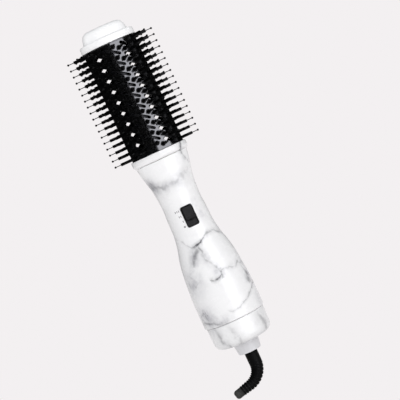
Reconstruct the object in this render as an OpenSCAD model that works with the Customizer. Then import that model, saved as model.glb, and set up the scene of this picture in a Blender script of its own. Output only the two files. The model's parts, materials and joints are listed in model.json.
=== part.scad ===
// Hot air brush: an oval thermal barrel with porcupine bristle clusters on a waisted handle.
// +Z runs up the long axis to the cool tip, the switch faces -Y, and the origin is
// on the axis at the middle of the hand grip.

/* [Head] */
// Half of the barrel's width
barrel_half_w = 28.2; // [27.8:0.1:28.6]
// Half of the barrel's depth
barrel_half_d = 18; // [17.8:0.1:18.4]
// Radius of the barrel's narrow ends
end_r = 13; // [12.5:0.1:13.5]
// Thickness of the barrel's wall
barrel_wall = 1.2; // [1:0.1:1.4]
// Length of the perforated barrel
barrel_len = 119.4; // [119:0.1:120]
// Height of the cool tip cap
cap_h = 19.9; // [19:0.1:22]

/* [Bristles] */
// Distance between bristle columns right of the face's middle
column_pitch = 5.61; // [5.5:0.01:5.7]
// Distance between bristle columns left of the face's middle
close_pitch = 4.88; // [4.86:0.01:4.9]
// Distance between the clusters of one column
row_pitch = 11.8; // [11.6:0.1:12]
// Distance between clusters at the barrel's narrow ends
edge_pitch = 6.7; // [6.5:0.1:6.8]
// Radius of a bristle hole
hole_r = 2.4; // [2.3:0.05:2.5]
// Radius of a tuft of bristles
tuft_r = 1.6; // [1.3:0.05:1.6]
// Height of a tuft above the barrel
tuft_h = 12; // [8:0.5:14]
// Radius of a pin
pin_r = 0.45; // [0.3:0.05:0.45]
// Height of a pin with its ball above the barrel
pin_h = 19.2; // [15:0.2:22]
// Radius of the ball on a pin
ball_r = 1.1; // [0.8:0.05:1.2]

/* [Air slots] */
// Length of a slot between its rounded ends' centres
slot_len = 6.8; // [6:0.1:7.2]
// Width of a slot
slot_w = 2.8; // [2.4:0.1:3]
// Width of the slots in the outer columns
outer_slot_w = 3.4; // [2.8:0.1:3.4]
// Slope of a slot
slot_slope = 33; // [28:1:36]

/* [Handle] */
// Half of the handle's width under the collar
neck_half_w = 28.1; // [27.8:0.1:28.4]
// Half of the handle's depth under the collar
neck_half_d = 20; // [19.8:0.1:20.4]
// Radius of the waist
waist_r = 20.8; // [20.6:0.1:21.2]
// Radius of the tail
tail_r = 32.8; // [32.6:0.1:33]
// Thickness of the handle's wall
handle_wall = 2.2; // [2:0.1:2.3]

/* [Switch] */
// Width of the switch window
switch_w = 13; // [12.6:0.1:13.2]
// Height of the switch window
switch_h = 22.4; // [22:0.1:23]
// Travel of the slider through its four positions
switch_travel = 6; // [5:0.1:6]

/* [Blower] */
// Radius of the impeller
impeller_r = 27; // [25:0.1:27.4]
// Number of impeller blades
impeller_blades = 9; // [5:1:11]
// Number of stator vanes
stator_vanes = 7; // [3:1:9]

/* [Cord] */
// Radius of the cord's jacket
cord_r = 3.3; // [3:0.1:3.4]
// Radius of the bend in the strain relief
bend_r = 19.5; // [19:0.1:20]
// Angle of the bend
bend_angle = 77; // [60:1:85]

/* [Hidden] */

// Gap of a close fit
snug = 0.1;
// How far a cutter passes beyond what it cuts
past = 1;

// Heights along the axis
z_base = 59.7;
z_barrel_top = z_base + barrel_len;
z_cap = z_barrel_top + 0.1;
z_collar = 51.5;
z_handle_top = 51.2;
z_handle_bottom = -126.5;
z_switch = -12.6;
z_cover_top = -126.9;
z_cover_bottom = -153.3;
z_collar_tip = -165.2;
z_bend = -178.5;

// Colours
marble = [0.93, 0.93, 0.93];
black = [0.05, 0.05, 0.06];
white = [0.95, 0.95, 0.95];
steel = [0.7, 0.7, 0.72];
brass = [0.8, 0.62, 0.3];
mica = [0.72, 0.62, 0.42];
grey = [0.35, 0.35, 0.37];

// The barrel's oval is four tangent arcs: two narrow ends and two broad faces
end_x = barrel_half_w - end_r;
face_r = (end_x * end_x + barrel_half_d * barrel_half_d - end_r * end_r) / (2 * (barrel_half_d - end_r));
face_y = face_r - barrel_half_d;
face_angle = atan2(end_x, face_y);
face_arc = face_r * face_angle * PI / 180;
quarter_arc = face_arc + end_r * (90 - face_angle) * PI / 180;

// Outline of the barrel, brought in by an inset
module barrel_oval(inset) {
    intersection() {
        translate([0, face_y]) circle(face_r - inset, $fn = 160);
        translate([0, -face_y]) circle(face_r - inset, $fn = 160);
        square([2 * (end_x + (end_r - inset) * sin(face_angle)), 4 * barrel_half_d], center = true);
    }
    for (side = [-1, 1]) translate([side * end_x, 0]) circle(end_r - inset, $fn = 96);
}

// Angle and place of a point at a distance round the barrel from the middle of its front
function arc_angle(s) = abs(s) <= face_arc ? s / face_r * 180 / PI
    : sign(s) * (face_angle + (abs(s) - face_arc) / end_r * 180 / PI);
function arc_point(s) = abs(s) <= face_arc
    ? [face_r * sin(arc_angle(s)), face_y - face_r * cos(arc_angle(s))]
    : [sign(s) * end_x + end_r * sin(arc_angle(s)), -end_r * cos(arc_angle(s))];

// Puts its children on the barrel's surface, with their Z outwards and their Y up
module on_barrel(s, z) {
    translate([arc_point(s)[0], arc_point(s)[1], z])
        rotate([0, 0, arc_angle(s)]) rotate([90, 0, 0]) children();
}

// Columns run in fours, each lower than the one before by a quarter of the row pitch;
// the back face goes on a quarter lower than the front
columns = [-3:4];
middle_s = 1.1;
function column_s(k) = middle_s + (k - 1) * (k < 1 ? close_pitch : column_pitch);
function column_kind(k, back) = (k + 7 + back) % 4;
function column_rows(k, back) = column_kind(k, back) < 2 ? 10 : 9;
function column_z(k, row, back) =
    z_barrel_top - 5.4 - column_kind(k, back) * row_pitch / 4 - row * row_pitch;
// Three level columns stand on each narrow end
edge_rows = 18;
side_pitch = 10.4;
function edge_z(row) = z_barrel_top - 2.6 - row * edge_pitch;

// Repeats its children at every cluster of one face, and at those of both narrow ends
module each_face_cluster(back = 0) {
    rotate(back * 180) for (k = columns, row = [0:column_rows(k, back) - 1])
        on_barrel(column_s(k), column_z(k, row, back)) children();
}
module each_edge_cluster() {
    for (side = [-1, 1], column = [-1:1], row = [0:edge_rows - 1])
        on_barrel(side * (quarter_arc + column * side_pitch), edge_z(row)) children();
}

module bristle_hole() {
    translate([0, 0, -4]) cylinder(r = hole_r, h = 8, $fn = 32);
}
module slot_cut(w) {
    translate([0, 0, -4]) linear_extrude(8) polygon([
        for (end = [-1, 1], a = [-90:45:90]) [end * (slot_len + cos(a) * w) / 2, end * sin(a) * w / 2]
    ]);
}
// Slots stand beside every second column, where they keep clear of the tube's ends
slot_columns = [-3:2:3];
slot_shift = 1.4;
slot_rise = 5.2;
slot_clear = 5;
module face_slots(back) {
    rotate(back * 180) for (k = slot_columns, row = [0:9]) {
        z = column_z(k, row, back) + slot_rise;
        if (z < z_barrel_top - slot_clear && z > z_base + slot_clear)
            on_barrel(column_s(k) + slot_shift, z) rotate(-slot_slope)
                slot_cut(abs(k) == 3 ? outer_slot_w : slot_w);
    }
}

module barrel_tube() {
    color(black) difference() {
        translate([0, 0, z_base]) linear_extrude(barrel_len) difference() {
            barrel_oval(0);
            barrel_oval(barrel_wall);
        }
        for (back = [0, 1]) {
            each_face_cluster(back) bristle_hole();
            face_slots(back);
        }
        each_edge_cluster() bristle_hole();
    }
}

// A cup plugs each hole and holds the roots of its tuft
cup_depth = 3;
cup_r = hole_r - 0.05;
cup_floor = 0.5;
module cup() {
    translate([0, 0, -cup_depth]) difference() {
        cylinder(r = cup_r, h = cup_depth, $fn = 32);
        translate([0, 0, cup_floor]) cylinder(r = tuft_r + 0.05, h = cup_depth, $fn = 32);
    }
}
module bristle_cups_front() {
    color(black) each_face_cluster() cup();
}
module bristle_cups_back() {
    color(black) each_face_cluster(1) cup();
}
module bristle_cups_sides() {
    color(black) each_edge_cluster() cup();
}

// A tuft is a bundle of fine bristles round one pin
tuft_root = 2.4;
module tuft() {
    translate([0, 0, -tuft_root]) difference() {
        cylinder(r = tuft_r, h = tuft_root + tuft_h, $fn = 24);
        translate([0, 0, -past])
            cylinder(r = pin_r + 0.05, h = tuft_root + tuft_h + 2 * past, $fn = 24);
    }
}
module tufts_front() {
    color(black) each_face_cluster() tuft();
}
module tufts_back() {
    color(black) each_face_cluster(1) tuft();
}
module tufts_sides() {
    color(black) each_edge_cluster() tuft();
}

module pin() {
    translate([0, 0, -tuft_root]) cylinder(r = pin_r, h = tuft_root + pin_h - ball_r, $fn = 24);
    translate([0, 0, pin_h - ball_r]) sphere(r = ball_r, $fn = 24);
}
module pins_front() {
    color(black) each_face_cluster() pin();
}
module pins_back() {
    color(black) each_face_cluster(1) pin();
}
module pins_sides() {
    color(black) each_edge_cluster() pin();
}

// A point of the handle's oval at an angle of its normal: round where width and depth agree
function narrow_r(w, d) = d * pow(d / w, 0.725);
function broad_r(w, d) = let (e = narrow_r(w, d), c = w - e) (c * c + d * d - e * e) / (2 * (d - e));
function oval_point(w, d, a) = abs(w - d) < 0.01 ? [w * cos(a), w * sin(a)]
    : let (
        e = narrow_r(w, d),
        big = broad_r(w, d),
        ca = abs(cos(a)),
        sa = abs(sin(a)),
        narrow = atan2(sa, ca) <= atan2(big - d, w - e),
        p = narrow ? [w - e + e * ca, e * sa] : [big * ca, big * sa - big + d]
    ) [sign(cos(a)) * p[0], sign(sin(a)) * p[1]];

// A solid lofted through levels of [height, half width, half depth], lowest first
module loft(levels, steps = 48) {
    n = len(levels);
    polyhedron(
        [for (l = levels, j = [0:steps - 1])
            let (p = oval_point(l[1], l[2], (j + 0.5) * 360 / steps)) [p[0], p[1], l[0]]],
        concat(
            [[for (j = [0:steps - 1]) j]],
            [[for (j = [steps - 1:-1:0]) (n - 1) * steps + j]],
            [for (i = [0:n - 2], j = [0:steps - 1]) let (k = (j + 1) % steps)
                [i * steps + j, (i + 1) * steps + j, (i + 1) * steps + k, i * steps + k]]
        )
    );
}

// One half of a lofted shell, from angle a0 over 180 degrees, with its two long edges closed
module half_shell(outer, inner, a0, steps = 24) {
    n = len(outer);
    row = 2 * (steps + 1);
    points = [for (i = [0:n - 1], skin = [outer, inner], j = [0:steps])
        let (p = oval_point(skin[i][1], skin[i][2], a0 + j * 180 / steps)) [p[0], p[1], skin[i][0]]];
    polyhedron(points, concat(
        [for (i = [0:n - 2], j = [0:steps - 1]) let (o = i * row + j) [o, o + row, o + row + 1, o + 1]],
        [for (i = [0:n - 2], j = [0:steps - 1]) let (o = i * row + steps + 1 + j)
            [o, o + 1, o + row + 1, o + row]],
        [for (j = [0:steps - 1]) [j, j + 1, steps + 2 + j, steps + 1 + j]],
        [for (j = [0:steps - 1]) let (o = (n - 1) * row + j) [o, o + steps + 1, o + steps + 2, o + 1]],
        [for (i = [0:n - 2]) let (o = i * row) [o + row, o, o + steps + 1, o + row + steps + 1]],
        [for (i = [0:n - 2]) let (o = i * row + steps) [o, o + row, o + row + steps + 1, o + steps + 1]]
    ));
}

// The cool tip: a stepped flange and a drum with soft shoulders
cap_w = 29.3;
cap_d = barrel_half_d + 1.3;
flange_h = 7.5;
function cap_levels(inset, low, high) = [
    [low, cap_w - inset, cap_d - inset],
    [z_cap + flange_h - 1.8, cap_w - inset, cap_d - inset],
    [z_cap + flange_h - 0.6, cap_w - 0.6 - inset, cap_d - 0.6 - inset],
    [z_cap + flange_h - inset / 2, cap_w - 2.2 - inset, cap_d - 2.2 - inset],
    [z_cap + flange_h + 0.3 - inset / 2, cap_w - 4.6 - inset, cap_d - 4.4 - inset],
    [high - 4.4, cap_w - 7 - inset, cap_d - 6.5 - inset],
    [high - 1.6, cap_w - 9.4 - inset, cap_d - 8.6 - inset],
    [high - 0.4, cap_w - 11.6 - inset, cap_d - 10.6 - inset],
    [high, cap_w - 13.8 - inset, cap_d - 12.6 - inset]
];
cap_wall = 1.8;
tip_boss_x = 12;
screw_r = 1.25;
module tip_cap() {
    color(white) difference() {
        union() {
            difference() {
                loft(cap_levels(0, z_cap, z_cap + cap_h));
                loft(cap_levels(cap_wall, z_cap - past, z_cap + cap_h - cap_wall));
            }
            for (side = [-1, 1]) translate([side * tip_boss_x, 0, z_cap + 1])
                cylinder(r = 3, h = cap_h - 2, $fn = 32);
        }
        for (side = [-1, 1]) translate([side * tip_boss_x, 0, z_cap])
            cylinder(r = screw_r + 0.05, h = 11, $fn = 32);
    }
}

plate_t = 1.6;
module tip_plate() {
    color(black) difference() {
        union() {
            translate([0, 0, z_barrel_top - 1.9]) linear_extrude(2) barrel_oval(cup_depth + 2 * snug);
            translate([0, 0, z_barrel_top - 0.1]) linear_extrude(1) barrel_oval(barrel_wall + snug);
            translate([0, 0, z_barrel_top - 6])
                cylinder(r = core_r - core_wall - snug, h = 4.2, $fn = 64);
        }
        for (side = [-1, 1]) translate([side * tip_boss_x, 0, z_barrel_top - 3])
            cylinder(r = 1.4, h = 6, $fn = 32);
        for (side = [-1, 1]) translate([side * tip_boss_x, 0, z_barrel_top - 3])
            cylinder(r = 2.8, h = 2.4, $fn = 32);
    }
}
module tip_screws() {
    color(steel) for (side = [-1, 1]) translate([side * tip_boss_x, 0, z_barrel_top - 2.2]) {
        translate([0, 0, 0.1]) cylinder(r = 2.5, h = 1.4, $fn = 32);
        translate([0, 0, 1]) cylinder(r = screw_r, h = 9, $fn = 32);
    }
}
tip_ring_h = 1;
module tip_ring() {
    color(black) translate([0, 0, z_barrel_top - tip_ring_h]) linear_extrude(tip_ring_h) difference() {
        barrel_oval(-1.4);
        barrel_oval(-0.05);
    }
}

// The air core stands on the barrel's base and feeds hot air through its windows
core_r = 11;
core_wall = 1.2;
core_bottom = z_base + 0.2;
core_top = z_barrel_top - 2.1;
window_rows = 6;
module air_core() {
    color(black) difference() {
        translate([0, 0, core_bottom]) cylinder(r = core_r, h = core_top - core_bottom, $fn = 96);
        translate([0, 0, core_bottom - past])
            cylinder(r = core_r - core_wall, h = core_top - core_bottom + 2 * past, $fn = 96);
        for (row = [0:window_rows - 1], i = [0:4]) translate([0, 0, core_bottom + 10 + row * 17])
            rotate(90 + i * 72) translate([0, -2.5, 0]) cube([2 * core_r, 5, 11]);
    }
}

// The barrel's base plugs into the tube and holds the core
base_screw_x = 21.5;
module barrel_base() {
    color(black) difference() {
        union() {
            translate([0, 0, z_base - 1.5]) linear_extrude(1.45) barrel_oval(-0.9);
            translate([0, 0, z_base - 0.2]) linear_extrude(0.55) barrel_oval(barrel_wall + snug);
            translate([0, 0, z_base]) linear_extrude(4) barrel_oval(cup_depth + 2 * snug);
            for (side = [-1, 1]) translate([side * base_screw_x, 0, z_collar + 3.4])
                cylinder(r = 3, h = 6, $fn = 32);
        }
        translate([0, 0, core_bottom]) cylinder(r = core_r + 0.05, h = 10, $fn = 96);
        translate([0, 0, z_base - 3]) cylinder(r = core_r - core_wall, h = 10, $fn = 96);
        for (a = [-32, 32, 148, 212]) rotate(a) translate([13, -4, z_base - 3]) cube([4.2, 8, 10]);
        for (side = [-1, 1]) translate([side * base_screw_x, 0, z_collar])
            cylinder(r = screw_r + 0.05, h = 10, $fn = 32);
    }
}
module barrel_screws() {
    color(steel) for (side = [-1, 1]) translate([side * base_screw_x, 0, z_collar - 1.2]) {
        cylinder(r = 2.4, h = 2, $fn = 32);
        cylinder(r = screw_r, h = 10.5, $fn = 32);
    }
}

// The collar between head and handle, with a web that the head is screwed to
collar_w = 30.4;
collar_d = 20.9;
heater_r = 17;
module neck_collar() {
    color(marble) difference() {
        union() {
            difference() {
                loft([
                    [z_collar, collar_w - 1.5, collar_d - 0.9],
                    [z_collar + 0.8, collar_w - 0.8, collar_d - 0.5],
                    [z_collar + 2, collar_w - 0.2, collar_d - 0.2],
                    [z_collar + 3.2, collar_w, collar_d],
                    [z_base - 0.9, collar_w, collar_d],
                    [z_base - 0.3, collar_w - 0.3, collar_d - 0.3]
                ]);
                loft([[z_collar - past, 27, 17.6], [z_base + past, 27, 17.6]]);
                translate([0, 0, z_base - 1.6]) linear_extrude(4) barrel_oval(-1.05);
            }
            difference() {
                loft([[z_collar + 1, 27.4, 18], [z_collar + 3.2, 27.4, 18]]);
                translate([0, 0, z_collar]) cylinder(r = 17.4, h = 6, $fn = 96);
            }
        }
        for (side = [-1, 1]) translate([side * base_screw_x, 0, z_collar])
            cylinder(r = 1.5, h = 6, $fn = 32);
        for (side = [-1, 1]) translate([side * base_screw_x, 0, z_collar])
            cylinder(r = 2.6, h = 1.2, $fn = 32);
    }
}

// The heater: a mica tube, two crossed mica cards and the wound wire
heater_bottom = 9;
heater_top = z_base - 2.4;
module heater_tube() {
    color(mica) difference() {
        translate([0, 0, heater_bottom])
            cylinder(r = heater_r, h = heater_top - heater_bottom, $fn = 96);
        translate([0, 0, heater_bottom - past])
            cylinder(r = heater_r - 0.6, h = heater_top + 2 * past, $fn = 96);
    }
}
coil_r = 13;
wire_r = 0.5;
coil_turns = 9;
coil_pitch = 4.6;
module coil_turn(r, turn) {
    translate([0, 0, heater_bottom + 5 + turn * coil_pitch]) rotate_extrude($fn = 72)
        translate([coil_r, 0]) circle(r, $fn = 16);
}
card_t = 0.8;
card_w = heater_r - 0.8;
module heater_cards() {
    color(mica) difference() {
        union() {
            translate([-card_w, -card_t / 2, heater_bottom + 1]) cube([2 * card_w, card_t, 44]);
            translate([-card_t / 2, -card_w, heater_bottom + 1]) cube([card_t, 2 * card_w, 44]);
        }
        for (turn = [0:coil_turns - 1]) coil_turn(wire_r + 0.05, turn);
    }
}
module heater_coils() {
    color(steel) for (turn = [0:coil_turns - 1]) coil_turn(wire_r, turn);
}
module thermostat() {
    color(white) translate([2, card_t / 2 + 0.05, 22]) cube([8, 3.5, 11]);
    color(brass) translate([6, card_t / 2 + 3.5, 27.5]) rotate([-90, 0, 0])
        cylinder(r = 2.6, h = 1, $fn = 48);
}
module thermal_fuse() {
    color(steel) translate([-6, -card_t / 2 - 1.9, 21]) cylinder(r = 1.8, h = 12, $fn = 32);
    color(steel) translate([-6, -card_t / 2 - 1.9, 16]) cylinder(r = 0.5, h = 22, $fn = 16);
}

// The handle's stations: height, then how far the width goes from the waist's to its end's
upper_stations = [[0.19, 0.055], [0.42, 0.2], [0.6, 0.46], [0.78, 0.73], [1, 1]];
lower_stations = [
    [0.08, 0.05], [0.22, 0.1], [0.33, 0.29], [0.42, 0.56], [0.54, 0.78], [0.75, 0.975], [0.88, 1]
];
waist_z = 2;
function grow(from, to, t) = from + (to - from) * t;
stations = concat(
    [[z_handle_bottom, tail_r - 0.9, tail_r - 0.9], [z_handle_bottom + 0.6, tail_r - 0.35, tail_r - 0.35],
        [z_handle_bottom + 2, tail_r, tail_r]],
    [for (i = [len(lower_stations) - 1:-1:0]) let (s = lower_stations[i], r = grow(waist_r, tail_r, s[1]))
        [grow(waist_z, z_handle_bottom, s[0]), r, r]],
    [[waist_z, waist_r, waist_r]],
    [for (s = upper_stations)
        [grow(waist_z, z_handle_top, s[0]),
            grow(waist_r, neck_half_w, s[1]), grow(waist_r, neck_half_d, s[1])]]
);
// Smooth curve through the stations: the point a fraction t past station i
function slope(i) =
    let (a = stations[max(i - 1, 0)], b = stations[min(i + 1, len(stations) - 1)]) (b - a) / (b[0] - a[0]);
function between(i, t) = let (a = stations[i], b = stations[i + 1], h = b[0] - a[0])
    a * (2 * pow(t, 3) - 3 * t * t + 1) + b * (3 * t * t - 2 * pow(t, 3))
    + slope(i) * h * (pow(t, 3) - 2 * t * t + t) + slope(i + 1) * h * (pow(t, 3) - t * t);
function steps_after(i) = i < 2 ? 1 : 2;
handle_outer = concat(
    [for (i = [0:len(stations) - 2], k = [0:steps_after(i) - 1]) between(i, k / steps_after(i))],
    [stations[len(stations) - 1]]
);
handle_inner = [for (l = handle_outer) [l[0], l[1] - handle_wall, l[2] - handle_wall]];

// Screw places: x and height, two pairs
handle_screws_at = [[-9, -38], [9, -38], [-20, -72], [20, -72]];
boss_reach = 18;
screw_head_y = 7.5;
module boss(x, z, r, side, reach) {
    translate([x, side * 0.2, z]) rotate([-90 * side, 0, 0]) cylinder(r = r, h = reach, $fn = 32);
}
window_depth = 8;
module handle_front() {
    color(marble) difference() {
        union() {
            half_shell(handle_outer, handle_inner, 180);
            for (p = handle_screws_at) boss(p[0], p[1], 2.8, -1, boss_reach);
        }
        for (p = handle_screws_at) translate([p[0], past, p[1]]) rotate([90, 0, 0])
            cylinder(r = screw_r + 0.05, h = 12, $fn = 32);
        translate([-switch_w / 2, -waist_r - 4, z_switch - switch_h / 2])
            cube([switch_w, window_depth, switch_h]);
    }
}
module handle_back() {
    color(marble) difference() {
        union() {
            half_shell(handle_outer, handle_inner, 0);
            for (p = handle_screws_at) boss(p[0], p[1], 4, 1, boss_reach);
        }
        for (p = handle_screws_at) translate([p[0], -past, p[1]]) rotate([-90, 0, 0])
            cylinder(r = 1.5, h = 40, $fn = 32);
        for (p = handle_screws_at) translate([p[0], screw_head_y, p[1]]) rotate([-90, 0, 0])
            cylinder(r = 2.9, h = 40, $fn = 32);
    }
}
module handle_screws() {
    color(steel) for (p = handle_screws_at) difference() {
        union() {
            translate([p[0], screw_head_y + 0.05, p[1]]) rotate([-90, 0, 0])
                cylinder(r = 2.6, h = 1.8, $fn = 32);
            translate([p[0], screw_head_y + 1, p[1]]) rotate([90, 0, 0])
                cylinder(r = screw_r, h = 18, $fn = 32);
        }
        for (a = [0, 90]) translate([p[0], screw_head_y + 1.4, p[1]]) rotate([0, a, 0])
            translate([-1.6, -0.4, -0.25]) cube([3.2, 2, 0.5]);
    }
}

// The switch: a frame in the handle's window, with a ribbed slider over a plain floor
frame_y = -21.9;
frame_t = 0.8;
floor_y = -19.4;
stem_w = 3;
slider_w = switch_w - 2 * frame_t - 0.4;
slider_h = switch_h - 2 * frame_t - switch_travel - 0.4;
slider_top = z_switch + switch_h / 2 - frame_t - 0.2;
slider_y = -22.7;
stem_z = slider_top - slider_h / 2;
module rounded_bar(w, h, r, y0, y1, z) {
    translate([0, y1, z]) rotate([90, 0, 0]) linear_extrude(y1 - y0) polygon([
        for (q = [[1, 1, 0], [-1, 1, 90], [-1, -1, 180], [1, -1, 270]], a = [0:30:90])
            [q[0] * (w / 2 - r) + r * cos(q[2] + a), q[1] * (h / 2 - r) + r * sin(q[2] + a)]
    ]);
}
module switch_frame() {
    color(black) difference() {
        rounded_bar(switch_w - 0.1, switch_h - 0.1, 2.2, frame_y, -17, z_switch);
        rounded_bar(switch_w - 2 * frame_t, switch_h - 2 * frame_t, 1.5, frame_y - past, floor_y, z_switch);
        translate([-stem_w / 2 - 0.2, -22, stem_z - stem_w / 2 - switch_travel - 0.3])
            cube([stem_w + 0.4, 8, stem_w + switch_travel + 0.6]);
    }
}
rib_count = 6;
module switch_slider() {
    color(black) difference() {
        union() {
            rounded_bar(slider_w, slider_h, 1.3, slider_y + 0.6, floor_y - 0.15, slider_top - slider_h / 2);
            rounded_bar(slider_w - 1, slider_h - 1, 1, slider_y, floor_y - 0.5, slider_top - slider_h / 2);
            translate([-slider_w / 2 + 0.6, slider_y - 0.5, slider_top - slider_h + 0.5])
                cube([slider_w - 1.2, 1.5, 1.1]);
            translate([-stem_w / 2, floor_y - 1, stem_z - stem_w / 2]) cube([stem_w, 5, stem_w]);
        }
        for (i = [0:rib_count - 1]) translate([-slider_w, slider_y - past, slider_top - 2 - i * 1.8])
            cube([2 * slider_w, past + 0.4, 0.8]);
    }
}
body_y = -16.9;
module switch_body() {
    color(grey) difference() {
        translate([-6, body_y, z_switch - 13]) cube([12, 10, 26]);
        translate([-4.2, body_y - past, z_switch - 11]) cube([8.4, past + 5.6, 22]);
    }
}
module switch_wiper() {
    color(brass) translate([-2.6, floor_y + 4.05, stem_z - 3]) cube([5.2, 0.6, 6]);
}
module switch_terminals() {
    color(brass) for (i = [0:3]) translate([-0.4, body_y + 10.05, z_switch - 10 + i * 6])
        cube([0.8, 4, 2.4]);
}

// A wire through its points
module wire(points, r) {
    for (i = [0:len(points) - 2]) {
        d = points[i + 1] - points[i];
        translate(points[i]) rotate([0, acos(d[2] / norm(d)), atan2(d[1], d[0])])
            cylinder(r = r, h = norm(d), $fn = 20);
    }
    for (i = [1:len(points) - 2]) translate(points[i]) sphere(r = r * 1.06, $fn = 20);
}
module lead_wires() {
    color("red") wire([[7, 4, -54], [14, 6, -42], [14.5, 6, -10], [12.5, 3, 8]], 1);
    color("white") wire([[-7, 4, -54], [-14, 6, -42], [-14.5, 6, -10], [-12.5, 3, 8]], 1);
    color("blue") wire([[3, 8, -54], [3, 14, -42], [3, 14, -6], [3, 12, 8]], 1);
}

// The duct carries the motor on its stator and holds the rear cover on its spigot
duct_r = 29.2;
duct_bore = 28.2;
seat_r = 30.4;
duct_top = -82;
spigot_z = -134;
holder_r = 15.6;
sleeve_r = 14.2;
motor_r = 12.4;
motor_bottom = -98;
motor_len = 32;
module fan_duct() {
    color(grey) {
        difference() {
            union() {
                translate([0, 0, spigot_z]) cylinder(r = duct_r, h = duct_top - spigot_z, $fn = 128);
                translate([0, 0, z_handle_bottom + 2.5]) cylinder(r = seat_r, h = 8, $fn = 128);
            }
            translate([0, 0, spigot_z - past]) cylinder(r = duct_bore, h = 80, $fn = 128);
        }
        difference() {
            union() {
                translate([0, 0, motor_bottom - 0.5]) cylinder(r = holder_r, h = 16, $fn = 96);
                for (i = [0:stator_vanes - 1]) rotate(i * 360 / stator_vanes)
                    translate([12, -0.7, motor_bottom + 1]) rotate([14, 0, 0])
                        cube([duct_bore - 11.6, 1.4, 13]);
            }
            translate([0, 0, motor_bottom - 2]) cylinder(r = sleeve_r + 0.05, h = 20, $fn = 96);
        }
    }
}
module motor_sleeve() {
    color(black) difference() {
        translate([0, 0, motor_bottom]) cylinder(r = sleeve_r, h = 15, $fn = 96);
        translate([0, 0, motor_bottom - past]) cylinder(r = motor_r + 0.05, h = 17, $fn = 96);
    }
}
shaft_r = 1.1;
bearing_r = shaft_r + 0.05;
module motor_can() {
    color(steel) difference() {
        translate([0, 0, motor_bottom]) cylinder(r = motor_r, h = motor_len, $fn = 96);
        translate([0, 0, motor_bottom + 1.5]) cylinder(r = motor_r - 1, h = motor_len, $fn = 96);
        translate([0, 0, motor_bottom - past]) cylinder(r = bearing_r, h = 4, $fn = 48);
    }
}
module motor_end_cap() {
    color(black) difference() {
        union() {
            translate([0, 0, motor_bottom + motor_len + 0.05]) cylinder(r = motor_r, h = 2.5, $fn = 96);
            translate([0, 0, motor_bottom + motor_len + 2]) cylinder(r = 3.5, h = 3, $fn = 48);
        }
        translate([0, 0, motor_bottom + motor_len - past]) cylinder(r = bearing_r, h = 8, $fn = 48);
    }
}
magnet_out = motor_r - 1.05;
magnet_in = 9;
module motor_magnets() {
    color(grey) difference() {
        translate([0, 0, motor_bottom + 4]) cylinder(r = magnet_out, h = 24, $fn = 96);
        translate([0, 0, motor_bottom + 3]) cylinder(r = magnet_in, h = 26, $fn = 96);
        translate([-20, -3, motor_bottom + 3]) cube([40, 6, 26]);
    }
}
module motor_armature() {
    color(brass) difference() {
        translate([0, 0, motor_bottom + 6]) cylinder(r = magnet_in - 0.4, h = 20, $fn = 96);
        translate([0, 0, motor_bottom + 5]) cylinder(r = shaft_r, h = 22, $fn = 48);
        for (a = [0:60:300]) rotate(a) translate([4.5, -1.2, motor_bottom + 5]) cube([10, 2.4, 22]);
    }
}
impeller_z = -114;
hub_r = 11.5;
hub_h = 13;
shaft_bottom = impeller_z + 2;
module motor_shaft() {
    color(steel) translate([0, 0, shaft_bottom])
        cylinder(r = shaft_r, h = motor_bottom + motor_len + 5.6 - shaft_bottom, $fn = 48);
}
module impeller() {
    color(white) difference() {
        union() {
            translate([0, 0, impeller_z]) cylinder(r = hub_r, h = hub_h, $fn = 96);
            intersection() {
                for (i = [0:impeller_blades - 1]) rotate(i * 360 / impeller_blades)
                    translate([9, -0.6, impeller_z + 5]) rotate([38, 0, 0]) translate([0, 0, -7])
                        cube([20, 1.2, 15]);
                translate([0, 0, impeller_z - 5]) cylinder(r = impeller_r, h = 30, $fn = 128);
            }
        }
        translate([0, 0, impeller_z + 3]) cylinder(r = hub_r - 1.5, h = hub_h, $fn = 96);
        translate([0, 0, impeller_z - past]) cylinder(r = shaft_r, h = 20, $fn = 48);
    }
}
board_z = -59;
module rectifier_board() {
    color("darkgreen") difference() {
        translate([0, 0, board_z]) cylinder(r = 11, h = 1.4, $fn = 96);
        translate([0, 0, board_z - past]) cylinder(r = 1.6, h = 4, $fn = 32);
    }
}
module rectifier_diodes() {
    color(black) for (a = [45:90:315]) rotate(a) translate([5.4, -2.5, board_z + 1.4 + 1.5])
        rotate([-90, 0, 0]) cylinder(r = 1.4, h = 5, $fn = 32);
}

// The rear cover: a cup that slides over the duct's spigot, with the air intake in its end
cover_r = 31.4;
cover_wall = 1.7;
corner_r = 7.6;
collar_bore = 14.8;
function cover_profile(inset, top) = concat(
    [[cover_r - inset, top]],
    [for (a = [0:15:75]) [
        cover_r - 0.3 - corner_r + (corner_r - inset) * cos(a),
        z_cover_bottom + 1 + corner_r - (corner_r - inset) * sin(a)
    ]],
    [[collar_bore, z_cover_bottom + inset], [collar_bore - (inset > 0 ? past : 0), top]]
);
grille_bars = 30;
module rear_cover() {
    color(marble) difference() {
        rotate_extrude($fn = 128) polygon(cover_profile(0, z_cover_top));
        rotate_extrude($fn = 128) polygon(cover_profile(cover_wall, z_cover_top + past));
        for (i = [0:grille_bars - 1]) rotate(i * 360 / grille_bars)
            translate([17, -0.9, z_cover_bottom - 3]) cube([7.2, 1.8, 8]);
    }
}
filter_z = z_cover_bottom + 3.1;
module intake_filter() {
    color(grey) difference() {
        translate([0, 0, filter_z]) cylinder(r = 24.9, h = 0.8, $fn = 96);
        translate([0, 0, filter_z - past]) cylinder(r = collar_bore + 0.6, h = 3, $fn = 96);
    }
}

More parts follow.
